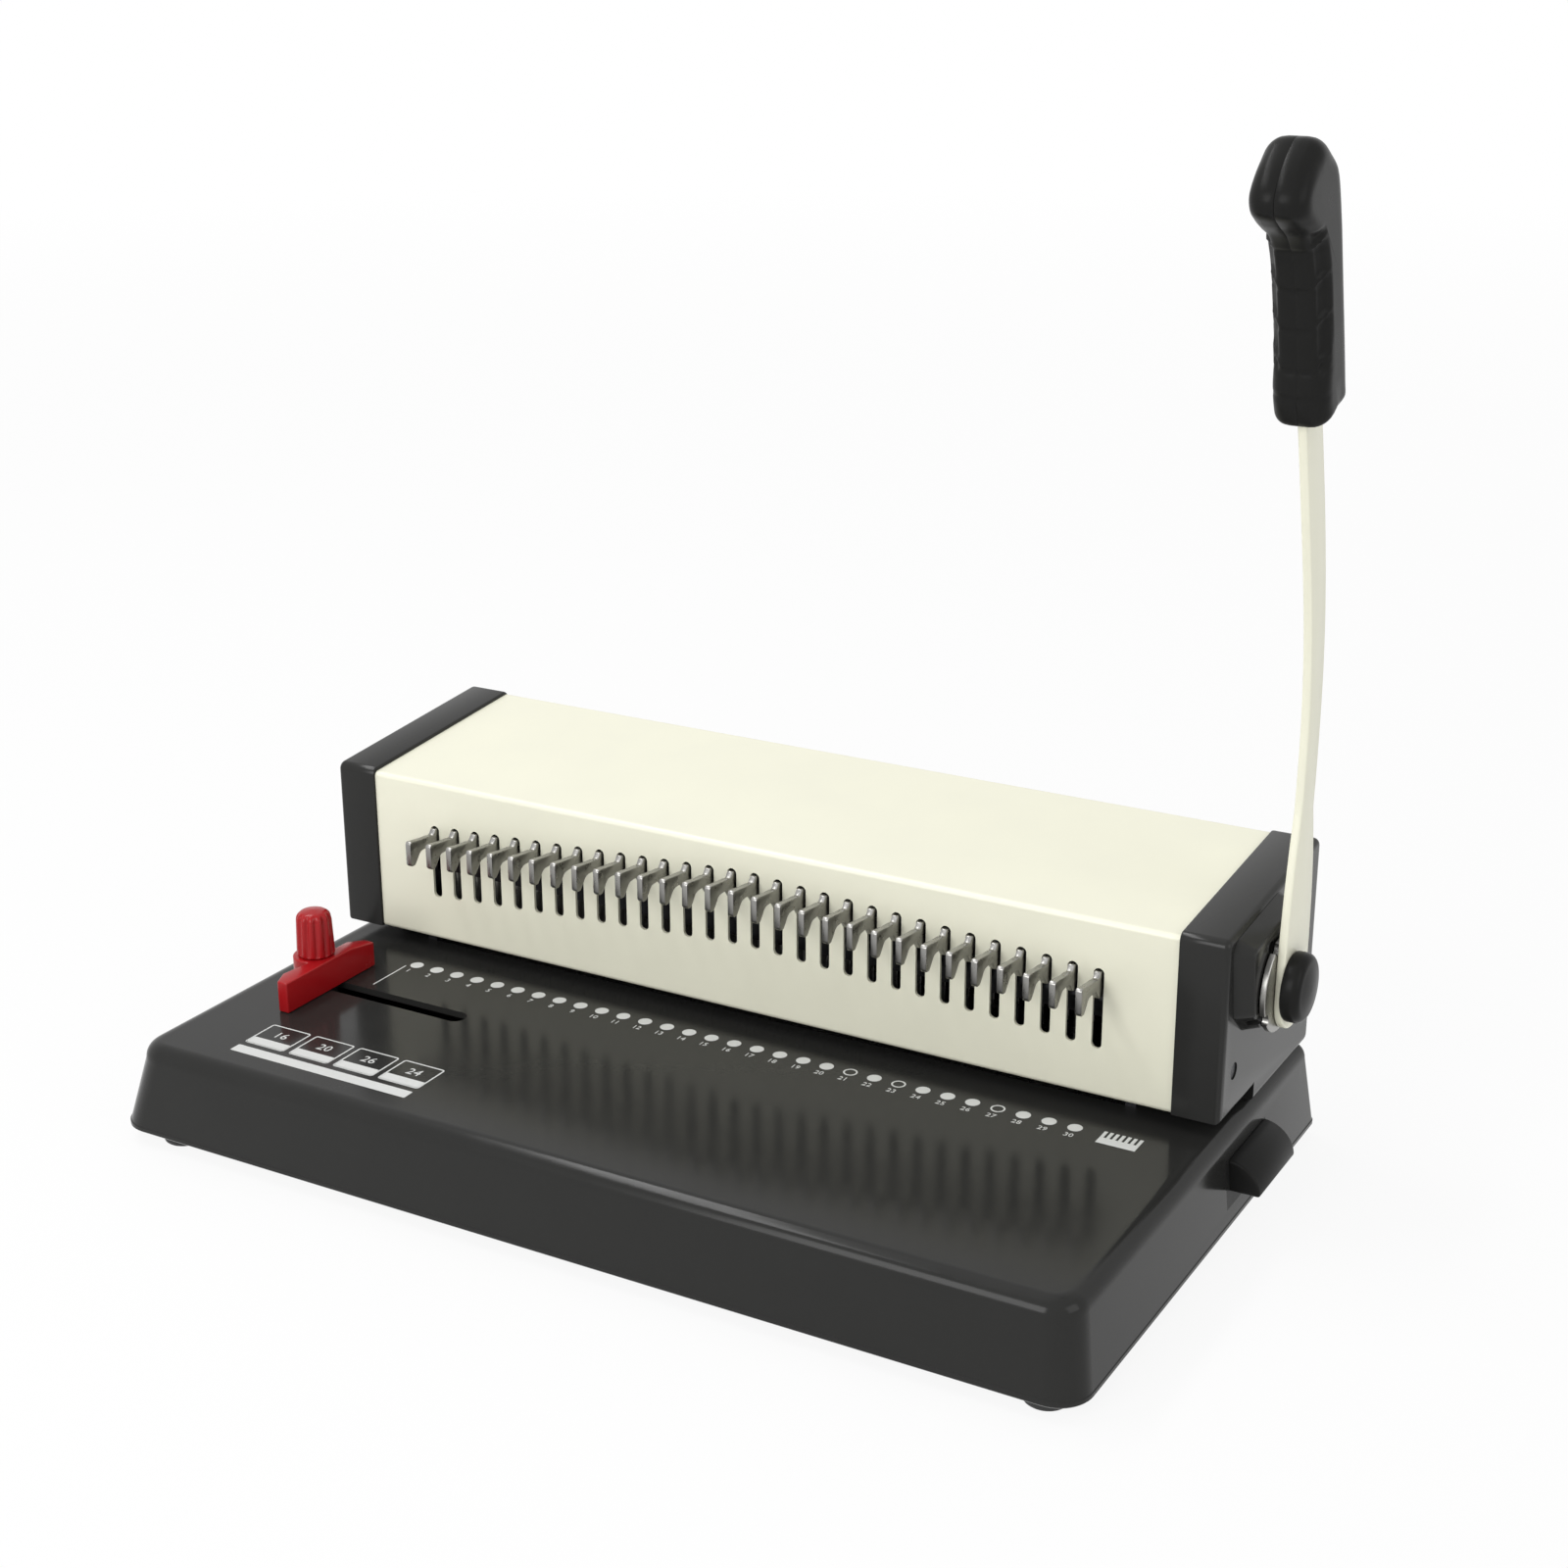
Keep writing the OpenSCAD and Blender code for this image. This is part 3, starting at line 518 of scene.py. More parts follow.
def shader_group(name, inputs, outputs):
    group = bpy.data.node_groups.new(name, "ShaderNodeTree")
    for label, kind, value in inputs:
        socket = group.interface.new_socket(label, in_out="INPUT", socket_type=kind)
        if value is not None:
            socket.default_value = value
    for label, kind in outputs:
        group.interface.new_socket(label, in_out="OUTPUT", socket_type=kind)
    return group, group.nodes.new("NodeGroupInput"), group.nodes.new("NodeGroupOutput")


def noise(tree, vector, scale, detail=3.0, roughness=0.55):
    node = tree.nodes.new("ShaderNodeTexNoise")
    tree.links.new(vector, node.inputs["Vector"])
    feed(tree, node.inputs["Scale"], scale)
    node.inputs["Detail"].default_value = detail
    node.inputs["Roughness"].default_value = roughness
    return node.outputs["Fac"]


def mix_colour(tree, factor, a, b):
    node = tree.nodes.new("ShaderNodeMix")
    node.data_type = "RGBA"
    tree.links.new(factor, node.inputs["Factor"])
    first, second, result = node.inputs[6], node.inputs[7], node.outputs[2]
    feed(tree, first, a)
    feed(tree, second, b)
    return result


def ranged(tree, value, low, high, start=0.3, end=0.7):
    """Stretches a value, by default the middle of a noise, to a range, which may come from sockets."""
    node = tree.nodes.new("ShaderNodeMapRange")
    tree.links.new(value, node.inputs["Value"])
    node.inputs["From Min"].default_value = start
    node.inputs["From Max"].default_value = end
    feed(tree, node.inputs["To Min"], low)
    feed(tree, node.inputs["To Max"], high)
    return node.outputs["Result"]


def mottle_group():
    """Slow change of colour and gloss over a surface, with rubbed edges."""
    inputs = [
        ("Vector", "NodeSocketVector", None),
        ("Colour", "NodeSocketColor", (0.5, 0.5, 0.5, 1.0)),
        ("Edge colour", "NodeSocketColor", (0.6, 0.6, 0.6, 1.0)),
        ("Scale", "NodeSocketFloat", 40.0),
        ("Depth", "NodeSocketFloat", 0.1),
        ("Rub", "NodeSocketFloat", 0.2),
        ("Gloss low", "NodeSocketFloat", 0.3),
        ("Gloss high", "NodeSocketFloat", 0.4),
    ]
    outputs = [("Colour", "NodeSocketColor"), ("Roughness", "NodeSocketFloat")]
    group, source, target = shader_group("mottle", inputs, outputs)
    link = group.links.new
    cloud = noise(group, source.outputs["Vector"], source.outputs["Scale"], 4.0)
    shade = maths(group, "MULTIPLY", maths(group, "SUBTRACT", cloud, 0.5), source.outputs["Depth"])
    tone = group.nodes.new("ShaderNodeHueSaturation")
    link(source.outputs["Colour"], tone.inputs["Color"])
    link(maths(group, "ADD", shade, 1.0), tone.inputs["Value"])
    flat, sharp = 0.53, 0.62
    pointed = group.nodes.new("ShaderNodeNewGeometry").outputs["Pointiness"]
    edge = ranged(group, pointed, 0.0, 1.0, flat, sharp)
    worn = maths(group, "MULTIPLY", edge, maths(group, "MULTIPLY", cloud, source.outputs["Rub"]))
    link(mix_colour(group, worn, tone.outputs[0], source.outputs["Edge colour"]), target.inputs["Colour"])
    gloss = ranged(group, cloud, source.outputs["Gloss low"], source.outputs["Gloss high"])
    link(gloss, target.inputs["Roughness"])


def peel_group():
    """Fine bumps of sprayed paint or of a textured mould."""
    inputs = [("Vector", "NodeSocketVector", None), ("Scale", "NodeSocketFloat", 900.0)]
    group, source, target = shader_group("peel", inputs, [("Height", "NodeSocketFloat")])
    finer, share = 3.1, 0.4
    where, scale = source.outputs["Vector"], source.outputs["Scale"]
    coarse = noise(group, where, scale, 2.0)
    fine = noise(group, where, maths(group, "MULTIPLY", scale, finer), 1.0)
    height = maths(group, "ADD", coarse, maths(group, "MULTIPLY", fine, share))
    group.links.new(height, target.inputs["Height"])


def brush_group():
    """Streaks of brushed or rolled metal along one axis."""
    inputs = [
        ("Vector", "NodeSocketVector", None),
        ("Stretch", "NodeSocketVector", (1.0, 1.0, 1.0)),
        ("Gloss low", "NodeSocketFloat", 0.25),
        ("Gloss high", "NodeSocketFloat", 0.4),
    ]
    outputs = [("Streak", "NodeSocketFloat"), ("Roughness", "NodeSocketFloat")]
    group, source, target = shader_group("brush", inputs, outputs)
    stretch = group.nodes.new("ShaderNodeVectorMath")
    stretch.operation = "MULTIPLY"
    group.links.new(source.outputs["Vector"], stretch.inputs[0])
    group.links.new(source.outputs["Stretch"], stretch.inputs[1])
    streak = noise(group, stretch.outputs[0], 1.0, 5.0)
    group.links.new(streak, target.inputs["Streak"])
    gloss = ranged(group, streak, source.outputs["Gloss low"], source.outputs["Gloss high"])
    group.links.new(gloss, target.inputs["Roughness"])


def start_material(name):
    """Puts a new material in the place of a plain one: its tree, its shader and the object's coordinates."""
    plain = bpy.data.materials.get(name)
    if plain is not None:
        bpy.data.materials.remove(plain)
    material = bpy.data.materials.new(name)
    material.use_nodes = True
    tree = material.node_tree
    shader = tree.nodes["Principled BSDF"]
    where = tree.nodes.new("ShaderNodeTexCoord").outputs["Object"]
    return tree, shader, where


def place_group(tree, name, where, **values):
    """Puts a shader group in a material, with its own values by input name."""
    node = tree.nodes.new("ShaderNodeGroup")
    node.node_tree = bpy.data.node_groups[name]
    tree.links.new(where, node.inputs["Vector"])
    for label, value in values.items():
        node.inputs[label.replace("_", " ")].default_value = value
    return node


def bump(tree, shader, height, strength, distance):
    node = tree.nodes.new("ShaderNodeBump")
    node.inputs["Strength"].default_value = strength
    node.inputs["Distance"].default_value = distance * MM
    tree.links.new(height, node.inputs["Height"])
    tree.links.new(node.outputs[0], shader.inputs["Normal"])


def opaque(rgb):
    return (rgb[0], rgb[1], rgb[2], 1.0)


MOTTLE_SCALE = 38.0
PEEL_STRENGTH = 0.35
STREAK_STRENGTH = 0.12
STREAK_DEPTH = 0.02


def coated_finish(name, rgb, edge, gloss, peel_scale, peel_depth, rub=0.25, depth=0.12, specular=0.5):
    """Paint or moulded plastic: mottled colour, fine peel and rubbed edges."""
    tree, shader, where = start_material(name)
    mottle = place_group(
        tree,
        "mottle",
        where,
        Colour=opaque(rgb),
        Edge_colour=opaque(edge),
        Scale=MOTTLE_SCALE,
        Depth=depth,
        Rub=rub,
        Gloss_low=gloss[0],
        Gloss_high=gloss[1],
    )
    tree.links.new(mottle.outputs["Colour"], shader.inputs["Base Color"])
    tree.links.new(mottle.outputs["Roughness"], shader.inputs["Roughness"])
    shader.inputs["Specular IOR Level"].default_value = specular
    peel = place_group(tree, "peel", where, Scale=peel_scale)
    bump(tree, shader, peel.outputs["Height"], PEEL_STRENGTH, peel_depth)


def metal_finish(name, rgb, dark, stretch, gloss):
    """Plated or plain metal with streaks."""
    tree, shader, where = start_material(name)
    brush = place_group(tree, "brush", where, Stretch=stretch, Gloss_low=gloss[0], Gloss_high=gloss[1])
    streak = ranged(tree, brush.outputs["Streak"], 0.0, 1.0)
    tree.links.new(mix_colour(tree, streak, opaque(dark), opaque(rgb)), shader.inputs["Base Color"])
    tree.links.new(brush.outputs["Roughness"], shader.inputs["Roughness"])
    shader.inputs["Metallic"].default_value = 1.0
    bump(tree, shader, brush.outputs["Streak"], STREAK_STRENGTH, STREAK_DEPTH)


def shaded(rgb, share):
    """A colour made darker, or lighter where the share is over one."""
    return tuple(min(1.0, part * share) for part in rgb)


def make_finishes():
    """All materials: one for each of the record's slots, the end caps' smoother plastic and the ink."""
    mottle_group()
    peel_group()
    brush_group()
    c = bpy.context.scene.punch_colours
    light_cream = shaded(c.cream, 1.06)
    grey, plastic_grey, rubber_grey = (0.05,) * 3, (0.06,) * 3, (0.07,) * 3
    pale_red = (0.45, 0.03, 0.03)
    coated_finish("cream_paint", c.cream, light_cream, (0.34, 0.44), 700.0, 0.02, depth=0.05, specular=0.75)
    coated_finish("black_paint", c.black, grey, (0.13, 0.18), 520.0, 0.012, specular=0.15)
    coated_finish("black_plastic", c.moulded, plastic_grey, (0.26, 0.34), 1500.0, 0.015, specular=0.06)
    coated_finish("cap_plastic", c.black, grey, (0.15, 0.2), 900.0, 0.012, specular=0.17)
    coated_finish("red_plastic", c.red, pale_red, (0.2, 0.28), 500.0, 0.01, specular=0.25)
    coated_finish("rubber", c.rubber, rubber_grey, (0.75, 0.9), 2200.0, 0.05)
    coated_finish("white_ink", c.ink, c.ink, (0.5, 0.6), 1200.0, 0.005, depth=0.15, rub=0.0)
    metal_finish("steel", c.nickel, shaded(c.nickel, 0.82), (900.0, 220.0, 220.0), (0.25, 0.35))
    metal_finish("dark_steel", c.oxide, shaded(c.oxide, 0.75), (60.0, 500.0, 500.0), (0.36, 0.52))
    metal_finish("bronze", c.bronze, shaded(c.bronze, 0.7), (700.0, 700.0, 700.0), (0.45, 0.6))
    for sub in frame["record"]["subparts"]:
        mesh = frame["nodes"][sub["node"]].data
        mesh.materials.clear()
        mesh.materials.append(bpy.data.materials[sub["material_slot"]])


# Base


PAST_WALL = 6
SLOT_RADIUS = 4.1


def base_ring(grow, lean, z):
    """Plan of the base at one height, grown outwards: lean is 0 at the top of its walls and 1 at the table."""
    s = sizes()
    back = 1 - lean
    corners = rectangle(
        BASE_LOW.x + back * mm(s.flare_left),
        BASE_HIGH.x - back * mm(s.flare_right),
        BASE_LOW.y + back * mm(s.flare_front),
        BASE_HIGH.y - back * mm(s.flare_back),
    )
    radii = [mm(s.front_corner)] * 2 + [mm(s.back_corner)] * 2
    return [plan_view(p, z) for p in rounded_outline(corners, radii, -grow, 12)]


def base_rings():
    """Outside of the base from the table up: a low rim, the leaning wall and the rounded upper edge."""
    edge = mm(sizes().base_edge)
    low = BASE_LOW.z
    rim = [(-0.5, 1, 0.0), (0, 1, 0.5), (0, 1, 1.8), (-0.25, 0.98, 2.1)]
    rings = [base_ring(grow, lean, low + height) for grow, lean, height in rim]
    rings += [base_ring(-inset, 0, TABLE_TOP - edge + rise) for inset, rise in arc_steps(edge, 8)]
    flat = 0.6
    return rings + [base_ring(-edge - flat, 0, TABLE_TOP)]


def build_base():
    """The shell, open below, with its openings for the die plate, the chip tray and the stop."""
    wall = mm(sizes().base_wall)
    low = BASE_LOW.z
    step = 1.5
    inside = [base_ring(-wall - 1, 0, TABLE_TOP - wall), base_ring(-wall - 1, 1, low + step)]
    inside += [base_ring(-wall, 1, low + step), base_ring(-wall, 1, low)]
    base = make_object("base_body", skinned(inside + base_rings()))

    die_low, die_high = span("die_plate")
    die_opening = (die_low.x, die_high.x, die_low.y, die_high.y)
    tray_low, tray_high = span("chip_tray")
    gap = 0.05
    tray_opening = (tray_low.y - gap, tray_high.y + gap, tray_low.z - gap, tray_high.z + gap)
    track_low, track_high = span("stop_strip")
    track_y = KNOB_AXIS.y + 1
    left_inset, right_inset = 1.9, 3.9
    track = rectangle(
        track_low.x + left_inset, track_high.x - right_inset, track_y - SLOT_RADIUS, track_y + SLOT_RADIUS
    )
    below = TABLE_TOP - 8
    within = 14
    cutters = [
        block(*die_opening, below, TABLE_TOP + 1),
        block(BASE_HIGH.x - within, BASE_HIGH.x + PAST_WALL, *tray_opening),
        slab(rounded_outline(track, SLOT_RADIUS - 0.01), plan_view, below, TABLE_TOP + 4),
    ]
    combine(base, cutters, "DIFFERENCE")
    finish(base, "black_paint", "frame", "black_paint", "base_shell")


def build_feet():
    """Turned feet, each with a recess for its screw."""
    low, high = span("rubber_feet")
    radius = 8.5
    height = high.z
    hole = 2.0
    recess = 4.0

    def place(a, b, along):
        return Vector((low.x + radius + a, low.y + radius + b, along))

    profile = [(hole, height), (hole, 2.0), (recess, 2.0), (recess, 0.4), (4.4, 0.0), (6.9, 0.0), (7.5, 0.5)]
    profile += [(7.9, 1.6), (8.0, 2.0), (8.2, 2.1), (radius, height - 0.3), (radius, height), (hole, height)]
    feet = make_object("rubber_feet_turned", lathe(profile, place, 40))
    width = (high.x - low.x - 2 * radius) * MM
    depth = (high.y - low.y - 2 * radius) * MM
    repeat(feet, corner_tree(), Width=width, Depth=depth, Material=bpy.data.materials["rubber"])
    finish(feet, "rubber", "frame", "rubber", "rubber_feet")


def build_tray():
    """The chip tray, with its outer end flush with the base's leaning wall."""
    low, high = span("chip_tray")
    wall, end_wall = 1.5, 4
    inner_end = BASE_HIGH.x - mm(sizes().flare_right) - end_wall
    solid = block(low.x, BASE_HIGH.x + PAST_WALL, low.y, high.y, low.z, high.z)
    tray = make_object("chip_tray_moulded", solid)
    combine(tray, [skinned(base_rings())], "INTERSECT")
    pocket = block(low.x + wall, inner_end, low.y + wall, high.y - wall, low.z + wall, high.z + 1)
    combine(tray, [pocket], "DIFFERENCE")
    finish(tray, "black_plastic", "tray", "black_plastic", "chip_tray")


def build_tray_pull():
    """The quarter-round pull, hollow from below and fitted to the base's leaning wall."""
    low, high = span("tray_pull")
    root = BASE_HIGH.x - mm(sizes().flare_right)
    reach = high.x - root
    rise = high.z - low.z
    outline = points((0, 0), (reach, 0))
    outline += [Vector((reach * cos(angle), rise * sin(angle))) for angle in quarter_turn(14)][1:]
    back, hollow, wall = 3.6, 6.2, 2.6
    hollow_rise = 1.22 * hollow
    inside = points((back, -2), (back + hollow, -2))
    inside += [Vector((back + hollow * cos(angle), hollow_rise * sin(angle))) for angle in quarter_turn(12)]

    def place(point, y):
        return Vector((root + point.x, y, low.z + point.y))

    pull = make_object("tray_pull_moulded", slab(outline, place, low.y, high.y))
    bevel(pull, 0.9, 3, 50)
    cutters = [slab(inside, place, low.y + wall, high.y - wall), skinned(base_rings())]
    combine(pull, cutters, "DIFFERENCE")
    finish(pull, "black_plastic", "tray", "black_plastic", "tray_pull")


# Head


CAP_INNER = (COVER_HIGH.x - COVER_LOW.x) / 2 / MM
CAP_OUTER = -span("end_cap_left")[0].x
CAP_SCREW_RADIUS = 3.03
SHAFT_HOLE_RADIUS = 6.5
THROAT_DEPTH = 32
HUB_RADIUS = 16.5
NOTCH_RADIUS = 2.4
NOTCH_ANGLES = (114, 210)


def cap_corners():
    """Corners of an end cap seen from the side."""
    low, high = span("end_cap_left")
    front_top = high.z - mm(sizes().top_rise)
    return points((low.y, low.z), (high.y, low.z), (high.y, high.z), (low.y, front_top))


def cap_rings(side):
    """Outline of an end cap from the cover outwards: side is -1 for the left and 1 for the right."""
    s = sizes()
    corners = cap_corners()
    radius = mm(s.cap_corner)
    edge = mm(s.cap_edge)
    steps = [(0.7, CAP_INNER), (0.2, CAP_INNER + 0.2), (0.0, CAP_INNER + 0.7)]
    steps += [(inset, CAP_OUTER - edge + rise) for inset, rise in arc_steps(edge, 6)]
    steps.append((edge + 0.6, CAP_OUTER))
    return [[side_view(p, side * x) for p in rounded_outline(corners, radius, inset)] for inset, x in steps]


def notches(x0, x1):
    """Round notches at the rim of the lever's hub."""
    for angle in NOTCH_ANGLES:
        y = PIVOT.y + HUB_RADIUS * cos(radians(angle))
        z = PIVOT.z + HUB_RADIUS * sin(radians(angle))
        yield rod(NOTCH_RADIUS, x0, x1, y, z, 24)


def boss_rings(end):
    """The raised housing round the shaft, from the right cap's side out to its face."""
    under = 4.6
    corners = cap_corners()
    slope = (corners[2].y - corners[3].y) / (corners[2].x - corners[3].x)

    def top(y):
        return corners[3].y + slope * (y - corners[3].x) - under

    y0 = PIVOT.y - 22.5
    y1 = PIVOT.y + 20
    foot = PIVOT.z - 12.5
    shoulder = PIVOT.z - 5
    corner = 3.0
    housing = points((PIVOT.y - 10, foot), (PIVOT.y + 11, foot), (y1, shoulder))
    housing += points((y1, top(y1)), (y0, top(y0)), (y0 + 4, shoulder))
    steps = [(2.6, CAP_OUTER - 1), (2.6, CAP_OUTER + 0.2), (2.35, CAP_OUTER + 0.6)]
    steps += [(0.3, end - 0.7), (0.1, end - 0.3), (-0.25, end - 0.06), (-0.7, end)]
    return [[side_view(p, x) for p in rounded_outline(housing, corner, -grow)] for grow, x in steps]


def throat_outline(side):
    """The gap for the paper under an end cap, seen from the front, with the cap's lower edge rounded."""
    floor = TABLE_TOP - 1
    top = span("cover_sheet")[0].z + 0.3
    edge = mm(sizes().cap_edge)
    near, far = CAP_INNER - 1, CAP_OUTER + 20
    outline = [(near, floor), (far, floor), (far, top + edge)]
    outline += [(CAP_OUTER - inset, top + edge - rise) for inset, rise in arc_steps(edge, 6)]
    outline.append((near, top))
    return [Vector((side * x, z)) for x, z in outline]


def build_end_caps():
    """Both caps, with the throat, the screws' recesses and, at the right, the housing round the shaft."""
    boss_end = span("end_cap_right")[1].x
    throat_front = span("end_cap_left")[0].y - 9
    screw_low, screw_high = span("cap_screws")
    screw_z = (screw_low.z + screw_high.z) / 2
    screw_ys = (screw_low.y + 3, screw_high.y - 3)
    for side, node in ((-1, "end_cap_left"), (1, "end_cap_right")):
        cap = make_object(f"{node}_moulded", skinned(cap_rings(side)))
        cutters = [slab(throat_outline(side), front_view, throat_front, THROAT_DEPTH)]
        x0, x1 = sorted((side * (CAP_OUTER - 2), side * (CAP_OUTER + 1)))
        cutters += [rod(CAP_SCREW_RADIUS, x0, x1, y, screw_z) for y in screw_ys]
        if side > 0:
            combine(cap, [skinned(boss_rings(boss_end))], "UNION")
            cutters.append(rod(SHAFT_HOLE_RADIUS, CAP_INNER - 1, boss_end + 1, PIVOT.y, PIVOT.z))
            cutters += notches(boss_end - 4, boss_end + 1)
        combine(cap, cutters, "DIFFERENCE")
        finish(cap, "cap_plastic", "frame", "black_plastic", node)


HOOK_GAP = 0.8


def hook_outline():
    """Side view of the hook in the middle of the row: Y, and Z below the top of its slot."""
    root = span("hook_carrier")[0].y
    corners = [
        (root, -10.4), (root, -HOOK_GAP), (-1.2, -HOOK_GAP), (-1.7, -1.5), (-2.6, -2.6), (-3.7, -2.8),
        (-4.5, -2.4), (-9, -2), (-16.2, -1), (-17, -1.8), (-17, -10), (-16.2, -11), (-14.4, -11), (-12.8, -9.2),
        (-11.4, -7.3), (-10.4, -6.6), (-9.2, -6.4), (-5.6, -6.4), (-4.4, -6.8), (-3.4, -8), (-1.8, -10.2),
    ]  # fmt: skip
    return points(*corners)


def build_hooks():
    """The row of pressed hooks, with the middle pair half a drop below the row's peak."""
    drop = sizes().slot_drop
    half_thick = 1.2
    top = span("hooks")[1].z + HOOK_GAP + mm(drop) * 0.5
    outline = [Vector((p.x, top + p.y)) for p in hook_outline()]
    hooks = make_object("hooks_pressed", slab(outline, side_view, -half_thick, half_thick))
    bevel(hooks, 0.3, 2, 30)
    repeat_in_row(hooks, drop, "steel")
    finish(hooks, "steel", "hook_set", "steel", "hooks")


# Lever


LEAN = radians(17)
EYE_RADIUS = 12.17
TANG = 58
BAR_FORWARD = 15.5
GRIP_UP = Vector((-sin(LEAN), cos(LEAN)))
GRIP_FRONT = Vector((-cos(LEAN), -sin(LEAN)))


def bar_end():
    """Where the curved part of the lever bar ends, in the YZ plane."""
    return Vector((PIVOT.y - BAR_FORWARD, PIVOT.z + mm(sizes().bar_rise)))


def bar_edges():
    """Front and back edge of the lever bar, from its waist up to the grip."""
    s = sizes()
    rise = mm(s.bar_rise)
    foot = Vector((PIVOT.y, PIVOT.z))
    end = bar_end()
    waist = foot + Vector((5.6, 0.31 * rise))
    curve = [waist, foot + Vector((9, 0.58 * rise)), end - 0.32 * rise * GRIP_UP, end]
    front, back = [], []
    steps = 32
    nudge = 0.01
    narrow_to, widen_over = 0.2, 0.6
    for k in range(steps + 1):
        t = k / steps
        way = (bezier(curve, t + nudge) - bezier(curve, t - nudge)).normalized()
        widen = min(1.0, max(0.0, (t - narrow_to) / widen_over))
        half = (mm(s.bar_waist) + (mm(s.bar_width) - mm(s.bar_waist)) * widen) / 2
        across = half * Vector((-way.y, way.x))
        front.append(bezier(curve, t) + across)
        back.append(bezier(curve, t) - across)
    return front, back


def bar_outline():
    """Side view of the bar: a wide plate round the shaft, a waist, and a tang inside the grip."""
    foot = Vector((PIVOT.y, PIVOT.z))
    front, back = bar_edges()
    eye = foot + Vector((4.5, -4.5))
    eye_front, eye_back = eye + Vector((-EYE_RADIUS, 2)), eye + Vector((EYE_RADIUS, 2))
    low_front = [front[0], foot + Vector((-2.8, 49)), foot + Vector((-7.3, 25)), eye_front]
    low_back = [eye_back, foot + Vector((17.1, 23)), foot + Vector((16.7, 39)), back[0]]
    steps = 20
    half_turn = [pi * k / 24 for k in range(25)]
    outline = [p + TANG * GRIP_UP for p in (back[-1], front[-1])] + front[::-1]
    outline += [bezier(low_front, k / steps) for k in range(1, steps + 1)]
    outline += [eye + EYE_RADIUS * Vector((-cos(angle), -sin(angle))) for angle in half_turn]
    return outline + [bezier(low_back, k / steps) for k in range(steps)] + back


def build_bar():
    low, high = span("lever_arm")
    bar = make_object("lever_bar", slab(bar_outline(), side_view, low.x, high.x))
    bevel(bar, mm(sizes().bar_edge), 3, 40)
    finish(bar, "cream_paint", "lever", "cream_paint", "lever_arm")


def build_hub():
    """The steel disc between the right cap and the bar."""
    low, high = span("lever_hub")
    edge = 0.25
    bore = 6.0
    profile = [(bore, low.x), (HUB_RADIUS - edge, low.x), (HUB_RADIUS, low.x + edge)]
    profile += [(HUB_RADIUS, high.x - edge), (HUB_RADIUS - edge, high.x), (bore, high.x), (bore, low.x)]
    hub = make_object("lever_hub_turned", lathe(profile, about_pivot, 96))
    combine(hub, notches(low.x - 1, high.x + 1), "DIFFERENCE")
    finish(hub, "steel", "lever", "steel", "lever_hub")


RIDGE_HEIGHTS = (22, 34.5, 47, 60)
RIDGE_WIDTH = 0.8
RIDGE_SLANT = 0.6
SPINE_ENDS = (7.0, 76.0)
SPINE_BEND = (48, 78)
CREASE_HEIGHTS = (10.5, 18.5, 31.5, 44, 57)
CREASE_WIDTH = 0.7
CREASE_DEPTH = 0.5


def grip_outline():
    """Side view of the grip: X along the bar, Y to the front, with finger creases on its front."""
    corners = [
        (1.2, 10.2), (5, 11.3), (12, 11.5), (19, 10), (32, 9.5), (44, 9.3), (56, 10.5), (63, 13.9),
        (69, 20), (73.5, 23.5), (78, 23.1), (84, 16.8), (87.5, 9.4), (88.7, 4), (87, -0.9), (82.6, -5.4),
        (75.2, -10.7), (66, -12.2), (36, -12.3), (10, -11.8), (2.2, -11), (0.6, -8), (-0.2, -1), (0.2, 7),
    ]  # fmt: skip
    spacing, front, bulb = 0.9, 7, 62
    outline = smooth_loop(points(*corners), spacing)
    for point in outline:
        if point.y > front and point.x < bulb:
            for height in CREASE_HEIGHTS:
                point.y -= CREASE_DEPTH * exp(-(((point.x - height) / CREASE_WIDTH) ** 2))
    return outline


def grip_spine(point):
    """The nearest place on the line that the grip's side closes to."""
    first, last = SPINE_ENDS
    along = min(max(point.x, first), last)
    return Vector((along, -1.2 + 8.2 * smooth_step(*SPINE_BEND, along)))


def smooth_step(low, high, value):
    t = min(max((value - low) / (high - low), 0.0), 1.0)
    return t * t * (3 - 2 * t)


def scoop(point):
    """Share of the finger scoop's depth at a place on the grip's side, with its slanted ridges."""
    middle = 41.0
    reach = 24.0
    bow = 1 - ((point.x - middle) / reach) ** 2
    if bow <= 0:
        return 0.0
    front, width, blend = 9.5, 5.2, 0.7
    border = front - width * sqrt(bow)
    share = smooth_step(border - blend, border + blend, point.y) * smooth_step(0, 0.25, bow)
    for height in RIDGE_HEIGHTS:
        across = (point.x - height) + RIDGE_SLANT * (point.y - 8)
        share *= 1 - 0.9 * exp(-((across / RIDGE_WIDTH) ** 2))
    return share


def build_grip(side, name, node):
    """One half of the grip: side is -1 for the half towards the head and 1 for the outer half."""
    s = sizes()
    low, high = span("grip_right")
    middle = low.x
    half = high.x - low.x
    edge = mm(s.grip_edge)
    end = bar_end()
    outline = grip_outline()

    def place(point, x):
        at = end + point.x * GRIP_UP + point.y * GRIP_FRONT
        return Vector((middle + side * x, at.x, at.y))

    seam, seam_share = 0.22, 0.01
    rings = [[place(p.lerp(grip_spine(p), seam_share), 0.0) for p in outline]]
    rings.append([place(p, seam) for p in outline])
    first_share, growth = 0.02, 1.32
    for share in [0.0] + [first_share * growth**k for k in range(14)]:
        ring = []
        for p in outline:
            towards = grip_spine(p)
            at = p.lerp(towards, share)
            depth = min(share * (towards - p).length, edge)
            x = half - edge + sqrt(edge**2 - (edge - depth) ** 2)
            ring.append(place(at, x - mm(s.scoop_depth) * scoop(at) * smooth_step(0.2, 2.5, depth)))
        rings.append(ring)
    grip = make_object(name, skinned(rings))
    finish(grip, "black_plastic", "lever", "black_plastic", node, sharp=60)


